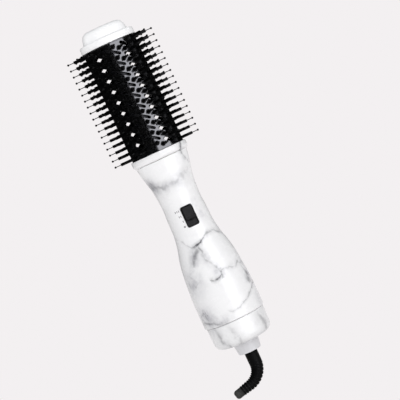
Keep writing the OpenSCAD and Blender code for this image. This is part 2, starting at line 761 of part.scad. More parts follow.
// The bracket across the duct's mouth holds the cord collar
collar_r = 14.2;
bracket_z = -133;
module tail_bracket() {
    color(grey) difference() {
        union() {
            translate([0, 0, bracket_z]) cylinder(r = collar_r, h = 4, $fn = 96);
            for (a = [30, 150, 270]) rotate(a) translate([11, -2, bracket_z])
                cube([duct_bore - 11.4, 4, 4]);
        }
        translate([0, 0, bracket_z - past]) cylinder(r = 9, h = 6, $fn = 96);
    }
}
spool_bore = 8.6;
lip_z = z_collar_tip + 2;
relief_r = 6.9;
module cord_collar() {
    color(white) difference() {
        union() {
            translate([0, 0, z_cover_bottom + 3])
                cylinder(r = collar_r, h = bracket_z - z_cover_bottom - 3.1, $fn = 96);
            translate([0, 0, z_collar_tip])
                cylinder(r1 = collar_r - 2, r2 = collar_r, h = z_cover_bottom + 3 - z_collar_tip, $fn = 96);
        }
        translate([0, 0, lip_z]) cylinder(r = spool_bore, h = 40, $fn = 96);
        translate([0, 0, z_collar_tip - past]) cylinder(r = relief_r + 0.1, h = 10, $fn = 96);
        for (side = [-1, 1], z = ring_heights) translate([-2.2, side * 10.2 - 2.2, z])
            cube([4.4, 4.4, ring_h]);
    }
}

// The swivel: a spool that turns in the collar with two contact rings
spool_r = spool_bore - 0.1;
spool_core = 6.4;
ring_h = 2;
ring_heights = [-147, -142];
ring_r = 7.9;
spool_top = -137;
module swivel_spool() {
    color(black) difference() {
        union() {
            translate([0, 0, lip_z + 0.1]) cylinder(r = spool_r, h = 3, $fn = 96);
            translate([0, 0, lip_z + 1]) cylinder(r = spool_core, h = spool_top - lip_z - 1, $fn = 96);
            for (z = concat(ring_heights, [spool_top - 1.5])) translate([0, 0, z - 1.5])
                cylinder(r = 7.2, h = 1.4, $fn = 96);
        }
        translate([0, 0, lip_z]) cylinder(r = cord_r + snug, h = 60, $fn = 64);
        translate([0, 0, lip_z]) cylinder(r = 4.6, h = 2.1, $fn = 64);
    }
}
module swivel_rings() {
    color(brass) for (z = ring_heights) difference() {
        translate([0, 0, z]) cylinder(r = ring_r, h = ring_h, $fn = 96);
        translate([0, 0, z - past]) cylinder(r = spool_core + 0.02, h = ring_h + 2 * past, $fn = 96);
    }
}
module swivel_brushes() {
    color(brass) for (side = [-1, 1], z = ring_heights)
        translate([-2, side * 10.05 - 2, z + 0.1]) cube([4, 4, ring_h - 0.2]);
}
module swivel_retainer() {
    color(steel) difference() {
        translate([0, 0, spool_top + 0.05]) cylinder(r = 8.2, h = 1, $fn = 96);
        translate([0, 0, spool_top - past]) cylinder(r = cord_r + 0.1, h = 4, $fn = 64);
    }
}

// The cord's path: straight down, round the bend towards -X, then straight out
tail_out = 16;
// The sleeve squeezes the cord a little
held_r = cord_r - 0.5;
module at_bend_end() {
    translate([-bend_r, 0, z_bend]) rotate([0, bend_angle, 0]) translate([bend_r, 0, 0]) children();
}
// The bend is a hair thicker than the straight rods, whose ends run into it
bend_extra = 0.03;
bend_lap = 0.5;
module bent_rod(r, top, out) {
    translate([0, 0, z_bend - bend_lap]) cylinder(r = r, h = top - z_bend + bend_lap, $fn = 48);
    translate([-bend_r, 0, z_bend]) rotate([90, 0, 0]) rotate_extrude(angle = -bend_angle, $fn = 96)
        translate([bend_r, 0]) circle(r + bend_extra, $fn = 48);
    at_bend_end() translate([0, 0, -out]) cylinder(r = r, h = out + bend_lap, $fn = 48);
}
rib_pitch = 3.1;
rib_w = 2.1;
groove = 0.6;
bend_len = bend_r * bend_angle * PI / 180;
end_len = 6;
relief_ribs = floor((bend_len + tail_out - end_len) / rib_pitch);
tip_relief_r = 4.8;
function rib_r(i) = grow(relief_r, tip_relief_r + 0.2, i / relief_ribs);
// Puts its children at a distance along the path from the start of the bend
module on_path(d) {
    if (d < bend_len)
        translate([-bend_r, 0, z_bend]) rotate([0, d / bend_r * 180 / PI, 0]) translate([bend_r, 0, 0])
            children();
    else
        at_bend_end() translate([0, 0, bend_len - d]) children();
}
module strain_relief() {
    color(black) difference() {
        union() {
            translate([0, 0, z_bend + 0.5]) cylinder(r = relief_r, h = lip_z - z_bend - 0.5, $fn = 64);
            translate([0, 0, lip_z - 1]) cylinder(r = 4.5, h = 3, $fn = 64);
            for (i = [0:relief_ribs]) on_path(i * rib_pitch) {
                translate([0, 0, -rib_w / 2]) cylinder(r = rib_r(i), h = rib_w, $fn = 48);
                translate([0, 0, -rib_pitch])
                    cylinder(r = rib_r(i) - groove, h = 2 * rib_pitch - 1, $fn = 48);
            }
            at_bend_end() translate([0, 0, -tail_out]) {
                cylinder(r1 = tip_relief_r - 1, r2 = tip_relief_r, h = 1.4, $fn = 48);
                translate([0, 0, 1.3]) cylinder(r = tip_relief_r, h = end_len - 1.3, $fn = 48);
            }
        }
        bent_rod(held_r + snug, lip_z + 5, tail_out + 5);
    }
}
cord_out = 2.5;
module cord_stub() {
    color([0.3, 0.3, 0.31]) {
        bent_rod(held_r, spool_top + 2, tail_out + cord_out - snug);
        at_bend_end() translate([0, 0, -tail_out - cord_out])
            cylinder(r = cord_r, h = cord_out - snug, $fn = 64);
    }
}

tip_cap();
tip_plate();
tip_screws();
tip_ring();
barrel_tube();
bristle_cups_front();
bristle_cups_back();
bristle_cups_sides();
tufts_front();
tufts_back();
tufts_sides();
pins_front();
pins_back();
pins_sides();
air_core();
barrel_base();
barrel_screws();
neck_collar();
heater_tube();
heater_cards();
heater_coils();
thermostat();
thermal_fuse();
handle_front();
handle_back();
handle_screws();
switch_frame();
switch_slider();
switch_body();
switch_wiper();
switch_terminals();
lead_wires();
fan_duct();
motor_sleeve();
motor_can();
motor_end_cap();
motor_magnets();
motor_armature();
motor_shaft();
impeller();
rectifier_board();
rectifier_diodes();
rear_cover();
intake_filter();
tail_bracket();
cord_collar();
swivel_spool();
swivel_rings();
swivel_brushes();
swivel_retainer();
strain_relief();
cord_stub();
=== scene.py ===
"""Looks of the hot air brush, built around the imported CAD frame.

Lengths are metres in the row frame: +Z runs up the axis to the cool tip and the switch faces -Y.
"""
import json
import math

import bmesh
import bpy
import numpy as np
from mathutils import Matrix, Vector

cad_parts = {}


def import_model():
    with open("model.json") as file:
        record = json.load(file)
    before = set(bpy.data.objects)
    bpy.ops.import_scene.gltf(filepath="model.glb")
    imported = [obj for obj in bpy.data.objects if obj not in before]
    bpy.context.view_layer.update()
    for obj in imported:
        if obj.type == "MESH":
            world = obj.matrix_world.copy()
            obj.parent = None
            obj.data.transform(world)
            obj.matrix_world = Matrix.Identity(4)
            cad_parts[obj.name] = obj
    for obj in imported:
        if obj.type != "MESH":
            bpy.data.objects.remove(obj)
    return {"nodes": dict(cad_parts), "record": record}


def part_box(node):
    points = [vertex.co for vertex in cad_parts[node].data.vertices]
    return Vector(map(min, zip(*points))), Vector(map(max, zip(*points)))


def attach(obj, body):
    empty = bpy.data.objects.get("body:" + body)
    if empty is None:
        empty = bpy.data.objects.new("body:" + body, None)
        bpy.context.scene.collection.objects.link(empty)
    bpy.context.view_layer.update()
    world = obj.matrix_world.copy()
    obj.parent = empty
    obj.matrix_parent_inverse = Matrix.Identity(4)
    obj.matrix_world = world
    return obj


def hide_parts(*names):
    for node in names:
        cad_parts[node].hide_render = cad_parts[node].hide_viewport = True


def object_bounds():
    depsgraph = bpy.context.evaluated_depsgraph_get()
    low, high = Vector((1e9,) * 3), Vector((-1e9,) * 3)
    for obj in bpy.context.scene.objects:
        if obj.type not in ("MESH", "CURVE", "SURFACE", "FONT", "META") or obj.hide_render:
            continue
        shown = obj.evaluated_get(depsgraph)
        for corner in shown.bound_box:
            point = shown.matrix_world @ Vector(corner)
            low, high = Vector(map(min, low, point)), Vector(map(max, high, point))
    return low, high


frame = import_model()
cad_low, cad_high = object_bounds()

MM = 0.001
NODES = frame["nodes"]
RANDOM = np.random.default_rng(7)


# ---------------- places, from the frame

def half_size(node):
    """Half the width and half the depth of a CAD node."""
    low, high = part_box(node)
    return (high.x - low.x) / 2, (high.y - low.y) / 2


def heights(node):
    """The lowest and the highest place of a CAD node."""
    return [corner.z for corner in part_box(node)]


BARREL_W, BARREL_D = half_size("barrel_tube")
BARREL_BOTTOM, BARREL_TOP = heights("barrel_tube")
HANDLE_BOTTOM, HANDLE_TOP = heights("handle_front")
COLLAR_BOTTOM, COLLAR_TOP = heights("neck_collar")
COVER_BOTTOM, COVER_TOP = heights("rear_cover")
CAP_BOTTOM, CAP_TOP = heights("tip_cap")
CORD_COLLAR_BOTTOM, CORD_COLLAR_TOP = heights("cord_collar")
SWITCH_LOW, SWITCH_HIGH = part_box("switch_frame")
SLIDER_LOW, SLIDER_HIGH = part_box("switch_slider")
TAIL_R = half_size("handle_front")[0]
COVER_R = half_size("rear_cover")[0]


# ---------------- ovals

def narrow_radius(w, d):
    """Radius of an oval's narrow ends, which are rounder the nearer the oval is to a circle."""
    return d * (d / w) ** 0.725


def oval(w, d, angles, end_r=None):
    """Points of a four-arc oval where its normal has the given angles."""
    cos, sin = np.cos(angles), np.sin(angles)
    if abs(w - d) < 1e-5:
        return np.stack([w * cos, w * sin], 1)
    e = narrow_radius(w, d) if end_r is None else end_r
    c = w - e
    big = (c * c + d * d - e * e) / (2 * (d - e))
    narrow = np.arctan2(abs(sin), abs(cos)) <= math.atan2(big - d, c)
    x = np.where(narrow, c + e * abs(cos), big * abs(cos)) * np.sign(cos)
    y = np.where(narrow, e * abs(sin), big * abs(sin) - big + d) * np.sign(sin)
    return np.stack([x, y], 1)


END_R = 13 * MM
END_X = BARREL_W - END_R
FACE_R = (END_X ** 2 + BARREL_D ** 2 - END_R ** 2) / (2 * (BARREL_D - END_R))
FACE_Y = FACE_R - BARREL_D
FACE_ANGLE = math.atan2(END_X, FACE_Y)
FACE_ARC = FACE_R * FACE_ANGLE
QUARTER_ARC = FACE_ARC + END_R * (math.pi / 2 - FACE_ANGLE)


def on_barrel(s, z, turn=0.0):
    """Matrix of the barrel's surface at a distance s round it: X along the arc, Y up and Z outwards."""
    if abs(s) <= FACE_ARC:
        a = s / FACE_R
        place = (FACE_R * math.sin(a), FACE_Y - FACE_R * math.cos(a), z)
    else:
        a = math.copysign(FACE_ANGLE + (abs(s) - FACE_ARC) / END_R, s)
        place = (math.copysign(END_X, s) + END_R * math.sin(a), -END_R * math.cos(a), z)
    upright = Matrix.Rotation(a, 4, "Z") @ Matrix.Rotation(math.pi / 2, 4, "X")
    return Matrix.Rotation(turn, 4, "Z") @ Matrix.Translation(place) @ upright


# ---------------- the bristle pattern

COLUMN_PITCH = 5.61 * MM
CLOSE_PITCH = 4.88 * MM
MIDDLE_S = 1.1 * MM
SIDE_PITCH = 10.4 * MM
ROW_PITCH = 11.8 * MM
FIRST_ROW = 5.4 * MM
EDGE_PITCH = 6.7 * MM
EDGE_ROWS = 18
FIRST_EDGE_ROW = 2.6 * MM
SLOT_SHIFT = 1.4 * MM
SLOT_RISE = 5.2 * MM
SLOT_SLOPE = math.radians(33)
COLUMNS = range(-3, 5)
SLOT_CLEAR = 5 * MM


def column_s(k):
    """Distance of a column round the barrel from the middle of its face."""
    return MIDDLE_S + (k - 1) * (CLOSE_PITCH if k < 1 else COLUMN_PITCH)


def column_kind(k, back):
    """Columns run in fours, each lower by a quarter pitch; the back goes on a quarter lower."""
    return (k + 7 + back) % 4


def column_z(k, row, back):
    return BARREL_TOP - FIRST_ROW - column_kind(k, back) * ROW_PITCH / 4 - row * ROW_PITCH


def face_clusters(back):
    """Places of the bristle clusters on the front, or on the back."""
    for k in COLUMNS:
        for row in range(10 if column_kind(k, back) < 2 else 9):
            yield on_barrel(column_s(k), column_z(k, row, back), back * math.pi)


def face_slots(back, columns):
    """Places of the air slots beside some columns, clear of the barrel's ends."""
    for k in columns:
        for row in range(10):
            z = column_z(k, row, back) + SLOT_RISE
            if BARREL_BOTTOM + SLOT_CLEAR < z < BARREL_TOP - SLOT_CLEAR:
                place = on_barrel(column_s(k) + SLOT_SHIFT, z, back * math.pi)
                yield place @ Matrix.Rotation(-SLOT_SLOPE, 4, "Z")


def edge_clusters():
    """Places of the clusters in three level columns on each narrow end."""
    for side in (-1, 1):
        for column in (-1, 0, 1):
            for row in range(EDGE_ROWS):
                s = side * (QUARTER_ARC + column * SIDE_PITCH)
                yield on_barrel(s, BARREL_TOP - FIRST_EDGE_ROW - row * EDGE_PITCH)


# ---------------- mesh helpers

SHARP_ANGLE = math.radians(32)


def mesh_object(name, verts, faces):
    """A new object from points and faces."""
    mesh = bpy.data.meshes.new(name)
    mesh.from_pydata([tuple(v) for v in verts], [], faces)
    mesh.validate()
    obj = bpy.data.objects.new(name, mesh)
    bpy.context.scene.collection.objects.link(obj)
    return obj


def smooth(obj, angle=SHARP_ANGLE):
    """Smooth shading, broken where faces meet at more than an angle."""
    obj.data.polygons.foreach_set("use_smooth", [True] * len(obj.data.polygons))
    obj.data.set_sharp_from_angle(angle=angle)
    return obj


def piece(obj, body, material, slot, *nodes):
    """Finishes a piece: material, the body it rides on, and the CAD nodes it stands for."""
    obj.data.materials.clear()
    obj.data.materials.append(material)
    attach(obj, body)
    if nodes:
        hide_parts(*nodes)
    return obj


def grid_faces(rows, columns, closed, start=0, flip=False):
    """Quads of a grid of points stored row by row; closed joins each row's end to its start."""
    faces = []
    for i in range(rows - 1):
        for j in range(columns if closed else columns - 1):
            k = (j + 1) % columns
            quad = (i * columns + j, i * columns + k, (i + 1) * columns + k, (i + 1) * columns + j)
            faces.append(tuple(start + q for q in (reversed(quad) if flip else quad)))
    return faces


def whole_turn(steps):
    return np.linspace(0, 2 * math.pi, steps, endpoint=False)


def closed_ring(name, verts, rows, steps):
    """An object from rows of points round a ring, whose last row joins the first."""
    last = (rows - 1) * steps
    faces = grid_faces(rows, steps, True)
    faces += [(last + j, last + (j + 1) % steps, (j + 1) % steps, j) for j in range(steps)]
    return outwards(mesh_object(name, verts, faces))


def lathe(name, profile, steps=160):
    """A closed ring turned from a closed outline of (radius, height)."""
    verts = [(r * math.cos(a), r * math.sin(a), z) for r, z in profile for a in whole_turn(steps)]
    return closed_ring(name, verts, len(profile), steps)


def outwards(obj):
    """Turns every face outwards."""
    work = bmesh.new()
    work.from_mesh(obj.data)
    bmesh.ops.recalc_face_normals(work, faces=work.faces)
    work.to_mesh(obj.data)
    work.free()
    return obj


def round_corner(cx, cz, r, a0, a1, steps=6):
    """Points of an arc from a0 to a1 degrees about a centre."""
    return [(cx + r * math.cos(math.radians(a)), cz + r * math.sin(math.radians(a)))
            for a in np.linspace(a0, a1, steps)]


def oval_ring(name, outer, inner, steps=256):
    """A closed oval ring from two outlines of (height, half width, half depth, and end radius if set)."""
    angles = (np.arange(steps) + 0.5) * 2 * math.pi / steps
    outline = outer + inner[::-1]
    verts = [(x, y, z) for z, *sizes in outline for x, y in oval(*sizes[:2], angles, *sizes[2:])]
    return closed_ring(name, verts, len(outline), steps)


def copies(verts, faces, places):
    """Many placed copies of one small mesh, as points and faces."""
    base = np.array(verts)
    all_verts, all_faces = [], []
    for place in places:
        m = np.array(place)
        start = len(all_verts) * len(base)
        all_verts.append(base @ m[:3, :3].T + m[:3, 3])
        all_faces += [tuple(start + i for i in f) for f in faces]
    return np.concatenate(all_verts), all_faces


def stack(outlines):
    """A closed solid through outlines of the same number of (x, y, z) points, lowest first."""
    n = len(outlines[0])
    verts = [p for outline in outlines for p in outline]
    faces = grid_faces(len(outlines), n, True)
    faces.append(tuple(reversed(range(n))))
    faces.append(tuple(range((len(outlines) - 1) * n, len(outlines) * n)))
    return verts, faces


def boolean(obj, other, operation="DIFFERENCE"):
    """Applies a boolean with another object and removes that object."""
    modifier = obj.modifiers.new("cut", "BOOLEAN")
    modifier.operation = operation
    modifier.object = other
    modifier.solver = "MANIFOLD"
    bpy.context.view_layer.update()
    result = bpy.data.meshes.new_from_object(obj.evaluated_get(bpy.context.evaluated_depsgraph_get()))
    obj.modifiers.clear()
    obj.data = result
    bpy.data.objects.remove(other)


# ---------------- materials

def new_node(tree, kind, **values):
    """A new node of a shader's tree; the values are named as its inputs."""
    node = tree.nodes.new("ShaderNode" + kind)
    for name, value in values.items():
        node.inputs[name.replace("_", " ")].default_value = value
    return node


def axes(tree, vector):
    """The three coordinates of a vector."""
    node = new_node(tree, "SeparateXYZ")
    tree.links.new(vector, node.inputs[0])
    return node.outputs


def map_range(tree, value, low, high, to_low, to_high):
    """Maps a range to another with soft ends."""
    node = new_node(tree, "MapRange", From_Min=low, From_Max=high, To_Min=to_low, To_Max=to_high)
    node.interpolation_type = "SMOOTHSTEP"
    tree.links.new(value, node.inputs["Value"])
    return node.outputs[0]


class Nodes:
    """Short calls for building a material's node tree."""

    def __init__(self, name):
        self.material = bpy.data.materials.new(name)
        self.material.use_nodes = True
        self.tree = self.material.node_tree
        self.shader = self.tree.nodes["Principled BSDF"]
        self.place = self.new("TexCoord").outputs["Object"]

    def new(self, kind, **values):
        return new_node(self.tree, kind, **values)

    def link(self, source, target):
        self.tree.links.new(source, target)

    def noise(self, scale, detail=3.0, roughness=0.5, vector=None, distortion=0.0):
        node = self.new("TexNoise", Scale=scale, Detail=detail, Roughness=roughness, Distortion=distortion)
        self.link(vector or self.place, node.inputs["Vector"])
        return node.outputs["Fac"]

    def math(self, operation, a, b=0.0, clamp=False):
        node = self.new("Math")
        node.operation = operation
        node.use_clamp = clamp
        for value, socket in zip((a, b), node.inputs):
            self.feed(value, socket)
        return node.outputs[0]

    def spread(self, value, low, high, to_low=0.0, to_high=1.0):
        return map_range(self.tree, value, low, high, to_low, to_high)

    def swing(self, noise, reach):
        """Moves a noise of 0 to 1 to both sides of nought."""
        return self.math("MULTIPLY", self.math("SUBTRACT", noise, 0.5), reach)

    def far(self, value, middle, half):
        """Square of the distance from a middle, in half widths."""
        away = self.math("DIVIDE", self.math("SUBTRACT", value, middle), half)
        return self.math("POWER", self.math("ABSOLUTE", away), 2.0)

    def feed(self, value, socket):
        """Sets a socket to a number or a colour, or links another socket to it."""
        if isinstance(value, (int, float)):
            socket.default_value = value
        elif isinstance(value, (tuple, list)):
            socket.default_value = (*value[:3], 1.0)
        else:
            self.link(value, socket)

    def mix(self, share, a, b):
        node = self.new("Mix")
        node.data_type = "RGBA"
        for value, socket in ((share, node.inputs[0]), (a, node.inputs[6]), (b, node.inputs[7])):
            self.feed(value, socket)
        return node.outputs[2]

    def turned(self):
        """The object's coordinates from another corner, for a second, unlike noise."""
        node = self.new("Mapping", Location=(0.7, 0.3, 0.5))
        self.link(self.place, node.inputs["Vector"])
        return node.outputs[0]

    def curve(self, value, points):
        """A smooth curve through (0 to 1, value) points; values stay within 0 to 1."""
        node = self.new("FloatCurve")
        line = node.mapping.curves[0]
        for i, point in enumerate(points):
            if i < 2:
                line.points[i].location = point
            else:
                line.points.new(*point)
        node.mapping.update()
        self.link(value, node.inputs["Value"])
        return node.outputs[0]

    def vein(self, along, across, points, width):
        """Darkness of one vein: a thin line with a soft halo, fading at its ends."""
        first, last = points[0][0], points[-1][0]
        sides = [p[1] for p in points]
        low, reach = min(sides), max(sides) - min(sides) + 0.001
        share = self.math("DIVIDE", self.math("SUBTRACT", along, first), last - first, clamp=True)
        ends = [((p[0] - first) / (last - first), p) for p in points]
        line = self.curve(share, [(t, (p[1] - low) / reach) for t, p in ends])
        dark = self.curve(share, [(t, p[2]) for t, p in ends])
        middle = self.math("ADD", self.math("MULTIPLY", line, reach), low)
        off = self.math("ABSOLUTE", self.math("SUBTRACT", across, middle))
        thin = self.spread(off, 0.0, width * 1.5, 0.65, 0.0)
        halo = self.spread(off, 0.0, width * 5.0, 0.45, 0.0)
        return self.math("MULTIPLY", self.math("ADD", thin, halo), dark)

    def bump(self, height, distance):
        node = self.new("Bump", Strength=1.0, Distance=distance)
        self.link(height, node.inputs["Height"])
        return node.outputs[0]

    def finish(self, colour, roughness, normal=None, **values):
        """Feeds the shader and returns the material; other values are named as the shader's sockets."""
        self.feed(colour, self.shader.inputs["Base Color"])
        self.feed(roughness, self.shader.inputs["Roughness"])
        if normal is not None:
            self.link(normal, self.shader.inputs["Normal"])
        for name, value in values.items():
            self.shader.inputs[name.replace("_", " ")].default_value = value
        return self.material


def plastic(name, colour, roughness=0.4, grain=900.0, grain_depth=0.00002, variation=0.12, **values):
    """Moulded plastic or rubber: slight colour and gloss variation and a fine grain."""
    n = Nodes(name)
    cloud = n.noise(60, 4)
    darker = tuple(c * (1 - variation) for c in colour)
    lighter = tuple(min(1.0, c * (1 + variation) + 0.0004) for c in colour)
    tint = n.mix(n.spread(cloud, 0.35, 0.65), darker, lighter)
    rough = n.spread(n.noise(220, 5), 0.3, 0.7, roughness * 0.85, min(1.0, roughness * 1.15))
    normal = n.bump(n.noise(grain, 2), grain_depth)
    return n.finish(tint, rough, normal, **values)


def metal(name, colour):
    """Plated or drawn metal with fine brushing and tarnish."""
    n = Nodes(name)
    stretch = n.new("Mapping", Scale=(1.0, 1.0, 0.08))
    n.link(n.place, stretch.inputs["Vector"])
    brushing = n.noise(2600, 3, vector=stretch.outputs[0])
    tarnish = n.spread(n.noise(120, 5), 0.45, 0.75)
    tint = n.mix(tarnish, colour, tuple(c * 0.7 for c in colour))
    rough = n.math("ADD", n.math("MULTIPLY", brushing, 0.15), 0.3)
    return n.finish(tint, rough, n.bump(brushing, 0.00001), Metallic=1.0)


# Veins as (place along, place across, darkness) points, then a width.
# Level ones run by degrees round from the front with their height in mm; upright ones the other way round.
LEVEL_VEINS = [
    ([(-88, 31, 0.0), (-74, 29, 0.5), (-45, 25, 0.4), (-15, 23, 0.3), (10, 25, 0.35),
      (40, 28, 0.3), (62, 33, 0.0)], 2.6),
    ([(-60, -34, 0.0), (-36, -40, 0.5), (-21, -44, 0.85), (-6, -43, 0.85), (7, -40.5, 0.7),
      (18, -37, 0.5), (35, -35.5, 0.55), (53, -38, 0.45), (75, -42, 0.0)], 1.0),
    ([(-16, -78, 0.0), (-10, -80.5, 0.7), (-1, -81.5, 0.8), (6, -79, 0.7), (14, -75, 0.3),
      (28, -75.5, 0.3), (60, -78, 0.4), (75, -80, 0.0)], 0.9),
    ([(-8, -117, 0.0), (0, -117.5, 0.3), (12, -116.5, 0.35), (27, -114.5, 0.4), (44, -110.5, 0.45),
      (64, -104, 0.5), (86, -96, 0.0)], 0.8),
    ([(-90, -124, 0.3), (-66, -121, 0.5), (-46, -123, 0.5), (-30, -125, 0.3), (-14, -126, 0.0)], 1.6),
]
UPRIGHT_VEINS = [
    ([(34, 70, 0.0), (39, 64, 0.4), (44, 56, 0.6), (49, 55, 0.7), (57, 57, 0.8), (61, 58, 0.0)], 1.8),
    ([(-84, 8, 0.0), (-78, 7, 0.6), (-73, 5, 0.5), (-65, -1, 0.35), (-56, -7, 0.4),
      (-47, -14, 0.5), (-42, -20, 0.0)], 2.2),
    ([(-62, -42, 0.0), (-56, -33, 0.5), (-49, -24, 0.5), (-44, -18, 0.0)], 5.0),
    ([(-101, 64, 0.0), (-97, 61, 0.6), (-90, 60, 0.7), (-84, 56, 0.3), (-78, 52, 0.0)], 3.0),
    ([(-154, -38, 0.2), (-146, -43, 0.45), (-136, -49, 0.35), (-128, -52, 0.2), (-122, -54, 0.0)], 5.0),
    ([(-154, -12, 0.2), (-146, -15, 0.3), (-134, -24, 0.15), (-128, -27, 0.0)], 4.0),
    ([(-154, 50, 0.3), (-142, 48, 0.4), (-130, 46, 0.2), (-127, 46, 0.0)], 5.0),
]
# Soft clouds: degrees round, height in mm, half widths in degrees and mm, darkness
CLOUDS = [
    (-70, 27, 26, 9, 0.4), (-20, 24, 30, 5, 0.3), (36, -16, 11, 5, 0.3), (30, -8, 8, 3, 0.15),
    (-30, -51, 12, 8, 0.35), (-8, -58, 10, 8, 0.2), (-54, -76, 22, 12, 0.3), (2, -76, 9, 6, 0.25),
    (-60, -116, 18, 11, 0.45), (-26, -123, 16, 5, 0.3), (70, -92, 14, 12, 0.3), (55, 48, 9, 9, 0.25),
    (66, -118, 14, 8, 0.15),
]
# How much lower the pattern's back runs than its front, in mm
BACK_SHIFT = 24.0


def marble():
    """Glossy white moulding printed with soft grey clouds and wandering darker veins."""
    n = Nodes("marble_plastic")
    x, y, z = axes(n.tree, n.place)
    fine = n.noise(230, 3)
    wander = n.math("ADD", n.swing(n.noise(55, 3), 13.0), n.swing(fine, 3.5))
    sideways = n.math("ADD", n.swing(n.noise(48, 3, vector=n.turned()), 30.0), n.swing(fine, 7.0))
    behind = n.spread(y, 0.002, 0.03, 0.0, BACK_SHIFT)
    height = n.math("ADD", n.math("ADD", n.math("MULTIPLY", z, 1000.0), behind), wander)
    round_by = n.math("MULTIPLY", n.math("ARCTAN2", x, n.math("ABSOLUTE", y)), 180 / math.pi)
    round_by = n.math("ADD", round_by, sideways)
    veins = 0.0
    for points, width in LEVEL_VEINS:
        veins = n.math("MAXIMUM", n.vein(round_by, height, points, width), veins)
    for points, width in UPRIGHT_VEINS:
        veins = n.math("MAXIMUM", n.vein(height, round_by, points, width), veins)
    broken = n.spread(n.noise(130, 4, 0.6), 0.32, 0.6, 0.3, 1.15)
    veins = n.math("MULTIPLY", veins, broken, clamp=True)
    cloud = n.spread(n.noise(24, 5, 0.6, distortion=0.6), 0.52, 0.8, 0.0, 0.3)
    for at, level, wide, tall, dark in CLOUDS:
        away = n.math("ADD", n.far(round_by, at, wide), n.far(height, level, tall))
        here = n.math("EXPONENT", n.math("MULTIPLY", away, -1.0))
        cloud = n.math("ADD", cloud, n.math("MULTIPLY", here, dark))
    cloud = n.math("MULTIPLY", cloud, n.spread(n.noise(80, 5, 0.62), 0.3, 0.7, 0.35, 1.9), clamp=True)
    ridge = n.math("ABSOLUTE", n.math("SUBTRACT", n.noise(42, 5, 0.6, distortion=1.2), 0.5))
    hairline = n.math("MULTIPLY", n.spread(ridge, 0.0, 0.035, 1.0, 0.0), n.spread(cloud, 0.1, 0.6, 0.0, 0.45))
    tint = n.mix(cloud, (0.87, 0.87, 0.87), (0.29, 0.29, 0.325))
    tint = n.mix(n.math("MAXIMUM", veins, hairline), tint, (0.09, 0.09, 0.1))
    rough = n.spread(n.noise(180, 4), 0.3, 0.7, 0.22, 0.3)
    return n.finish(tint, rough, n.bump(n.noise(500, 2), 0.000006), Specular_IOR_Level=0.25)


def barrel_coating():
    """Glossy black ceramic coating with faint unevenness and dust."""
    n = Nodes("barrel_coating")
    dust = n.spread(n.noise(1500, 2), 0.62, 0.8, 0.0, 0.2)
    tint = n.mix(dust, (0.001, 0.001, 0.0013), (0.01, 0.01, 0.011))
    rough = n.spread(n.noise(300, 5), 0.3, 0.7, 0.07, 0.14)
    normal = n.bump(n.noise(160, 3), 0.00001)
    return n.finish(tint, rough, normal, IOR=1.75)


def gauze(name, colour):
    """Fine woven filter gauze, with the gaps between its threads painted near black rather than open."""
    n = Nodes(name)
    pitch = 2 * math.pi / (0.9 * MM)
    waves = [n.math("SINE", n.math("MULTIPLY", axis, pitch)) for axis in axes(n.tree, n.place)[:2]]
    threads = n.math("MAXIMUM", *waves)
    tint = n.mix(n.spread(threads, 0.2, 0.6), (0.01, 0.01, 0.01), colour)
    return n.finish(tint, 0.6, n.bump(threads, 0.0002))


MARBLE = marble()
COATING = barrel_coating()
CAP = plastic("cap_plastic", (0.93, 0.93, 0.93), 0.35, 600, 0.000008, 0.02)
BRISTLE = plastic("bristle_nylon", (0.0012, 0.0012, 0.0014), 0.4, 2500, 0.000005, Specular_IOR_Level=0.1)
RUBBER = plastic("black_rubber", (0.002, 0.0019, 0.002), 0.45, 1800, Specular_IOR_Level=0.14)
SWITCH = plastic("switch_plastic", (0.004, 0.004, 0.0042), 0.45, 3000, Specular_IOR_Level=0.17)
WHITE = plastic("white_plastic", (0.72, 0.72, 0.735), 0.3, 600, 0.000008, 0.03)
INK = plastic("grey_ink", (0.12, 0.12, 0.125), 0.6, 2500, 0.00001)
JACKET = plastic("cord_jacket", (0.03, 0.03, 0.031), 0.45, 1500, 0.00001)

MADE = {
    "marble_plastic": MARBLE, "black_gloss": COATING, "bristle_black": BRISTLE, "black_rubber": RUBBER,
    "switch_black": SWITCH, "white_plastic": WHITE, "cord_jacket": JACKET,
}


def material_for(entry):
    """A material for one slot of the record, from its class and colour."""
    name, colour = entry["slot"], entry["base_color"][:3]
    if name in MADE:
        return MADE[name]
    if entry["class"] in ("brushed_steel", "brass", "chrome", "aluminium"):
        return metal(name, colour)
    if entry["class"] == "fabric":
        return gauze(name, colour)
    if entry["class"] == "cast_iron":
        return plastic(name, colour, 0.7, 1200, 0.00004)
    return plastic(name, colour, 0.5)


def dress_cad_nodes():
    """Gives every CAD node the material of its slot."""
    record = frame["record"]
    slots = {entry["slot"]: material_for(entry) for entry in record["materials"]}
    for entry in record["subparts"]:
        node = NODES[entry["node"]]
        node.data.materials.clear()
        node.data.materials.append(slots[entry["material_slot"]])


dress_cad_nodes()


# ---------------- head

HOLE_R = 2.4 * MM
SLOT_HALF, SLOT_R, OUTER_SLOT_R = 3.4 * MM, 1.4 * MM, 1.7 * MM
CHAMFER = 0.25 * MM
# Slots' outlines start this far round, in radians, so that no point falls between their round ends
OFF_AXIS = 0.13


def long_round(half, r, z):
    """Outline of a slot with round ends about its middle; a circle where half its length is nought."""
    return [(math.copysign(half, math.cos(a)) + r * math.cos(a), r * math.sin(a), z)
            for a in whole_turn(28) + OFF_AXIS]


